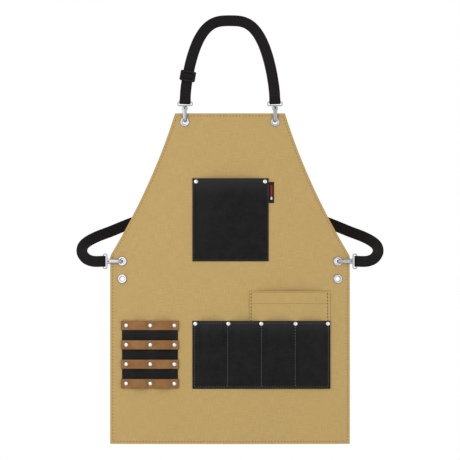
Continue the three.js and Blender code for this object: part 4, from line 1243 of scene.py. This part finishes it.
def sew_strap(name, frame_at, boxes):
    face_offset = STRAP.lap + THICK.webbing / 2 - STRAP.rib_depth / 2

    def face_at(places):
        place, _, across, out = frame_at(places[:, 1])
        return place + across * places[:, :1] + out * face_offset, out

    add_stitches(name, [run for box in boxes for run in box_runs(*box)], strap_thread, face_at)


sew_strap("neck_strap_stitches", neck_frame, [[neck_line.length - at for at in STRAP_BOX.neck]])
sew_strap("waist_strap_stitches", waist_frame,
          [STRAP_BOX.waist, [waist_line.length - at for at in STRAP_BOX.waist]])


# Slider: a flat frame with a bar across its middle
def slider_mesh():
    half = SLIDER.thickness / 2
    outer = rounded_rectangle(SLIDER.width, SLIDER.height, SLIDER_EDGE.corner)
    inner = rounded_rectangle(SLIDER.slot, SLIDER.height - 2 * SLIDER.bar, SLIDER_EDGE.slot_corner)
    ring = [[(x, -half, z), (x, half, z), (slot_x, half, slot_z), (slot_x, -half, slot_z)]
            for (x, z), (slot_x, slot_z) in zip(outer, inner)]
    middle = block(SLIDER.slot + SLIDER.bar_lap, half, -half, -SLIDER.bar / 2, SLIDER.bar / 2, power=12)
    mesh = fused([loft([*ring, ring[0]], closed_ends=False), middle], "slider", rounds=3)
    place, along, across, out = (Vector(part[0]) for part in neck_frame(np.array([SLIDER.distance])))
    basis = Matrix((across, -out, along)).transposed().to_4x4()
    mesh.transform(Matrix.Translation(place * MM) @ basis)
    return mesh


add_object("strap_slider_plastic", slider_mesh(), plastic, stands_for=["strap_slider"])


for strap, top in zip(holder_straps, holder_tops):
    along_x = np.linspace(HOLDER.left, HOLDER.right, MEASURE_POINTS)
    along_y = canvas_y(along_x, top) - strap_rear(along_x, top)

# Floor, light and camera
VIEW = Sizes(width=1113, centre_z=-508.2, panel_y=-140, distance=40000)
FLOOR = Sizes(z=-1150, radius=3600, thickness=20, sides=128)
ROOM = Sizes(reach=0.6, front=0.78, back=1.0)
LIT_PLACE = Vector((0, -140, -560))
# Name, place, diameter and power of each light
LIGHTS = [
    ("key", (-1500, -2300, -50), 1500, 17),
    ("fill", (1900, -1700, -800), 1600, 9),
    ("back", (600, 2400, 500), 1600, 14),
]


def add_floor():
    points, faces = rod(FLOOR.radius, 0, -FLOOR.thickness, FLOOR.sides)
    mesh = mesh_of([(points[:, [0, 2, 1]] + (0, 0, FLOOR.z), faces)], "floor")
    mesh.materials.append(floor_material())
    link("floor", mesh)


def add_light(name, place, size, power):
    light = bpy.data.lights.new(name, "AREA")
    light.shape, light.size, light.energy = "DISK", size * MM, power
    lamp = link(name, light)
    lamp.location = Vector(place) * MM
    lamp.rotation_mode = "QUATERNION"
    lamp.rotation_quaternion = (LIT_PLACE - Vector(place)).to_track_quat("-Z", "Y")
    lamp.visible_camera = False


def add_world():
    """A soft white room that is dimmer on the side that the apron faces."""
    world = bpy.data.worlds.new("studio")
    world.use_nodes = True
    scene.world = world
    nodes, links = world.node_tree.nodes, world.node_tree.links
    split = nodes.new("ShaderNodeSeparateXYZ")
    links.new(nodes.new("ShaderNodeTexCoord").outputs["Generated"], split.inputs[0])
    ramp = nodes.new("ShaderNodeMapRange")
    spans = {"From Min": -ROOM.reach, "From Max": ROOM.reach, "To Min": ROOM.front, "To Max": ROOM.back}
    for socket, value in spans.items():
        ramp.inputs[socket].default_value = value
    links.new(split.outputs["Y"], ramp.inputs["Value"])
    links.new(ramp.outputs[0], nodes["Background"].inputs["Color"])


def add_camera():
    camera = bpy.data.cameras.new("camera")
    camera.lens = camera.sensor_width * VIEW.distance / VIEW.width
    camera.clip_end = 2 * VIEW.distance * MM
    holder = link("camera", camera)
    holder.location = Vector((0, VIEW.panel_y - VIEW.distance, VIEW.centre_z)) * MM
    holder.rotation_euler = (math.pi / 2, 0, 0)
    scene.camera = holder


add_floor()
add_world()
add_camera()
for light in LIGHTS:
    add_light(*light)
scene.view_settings.view_transform = "Standard"
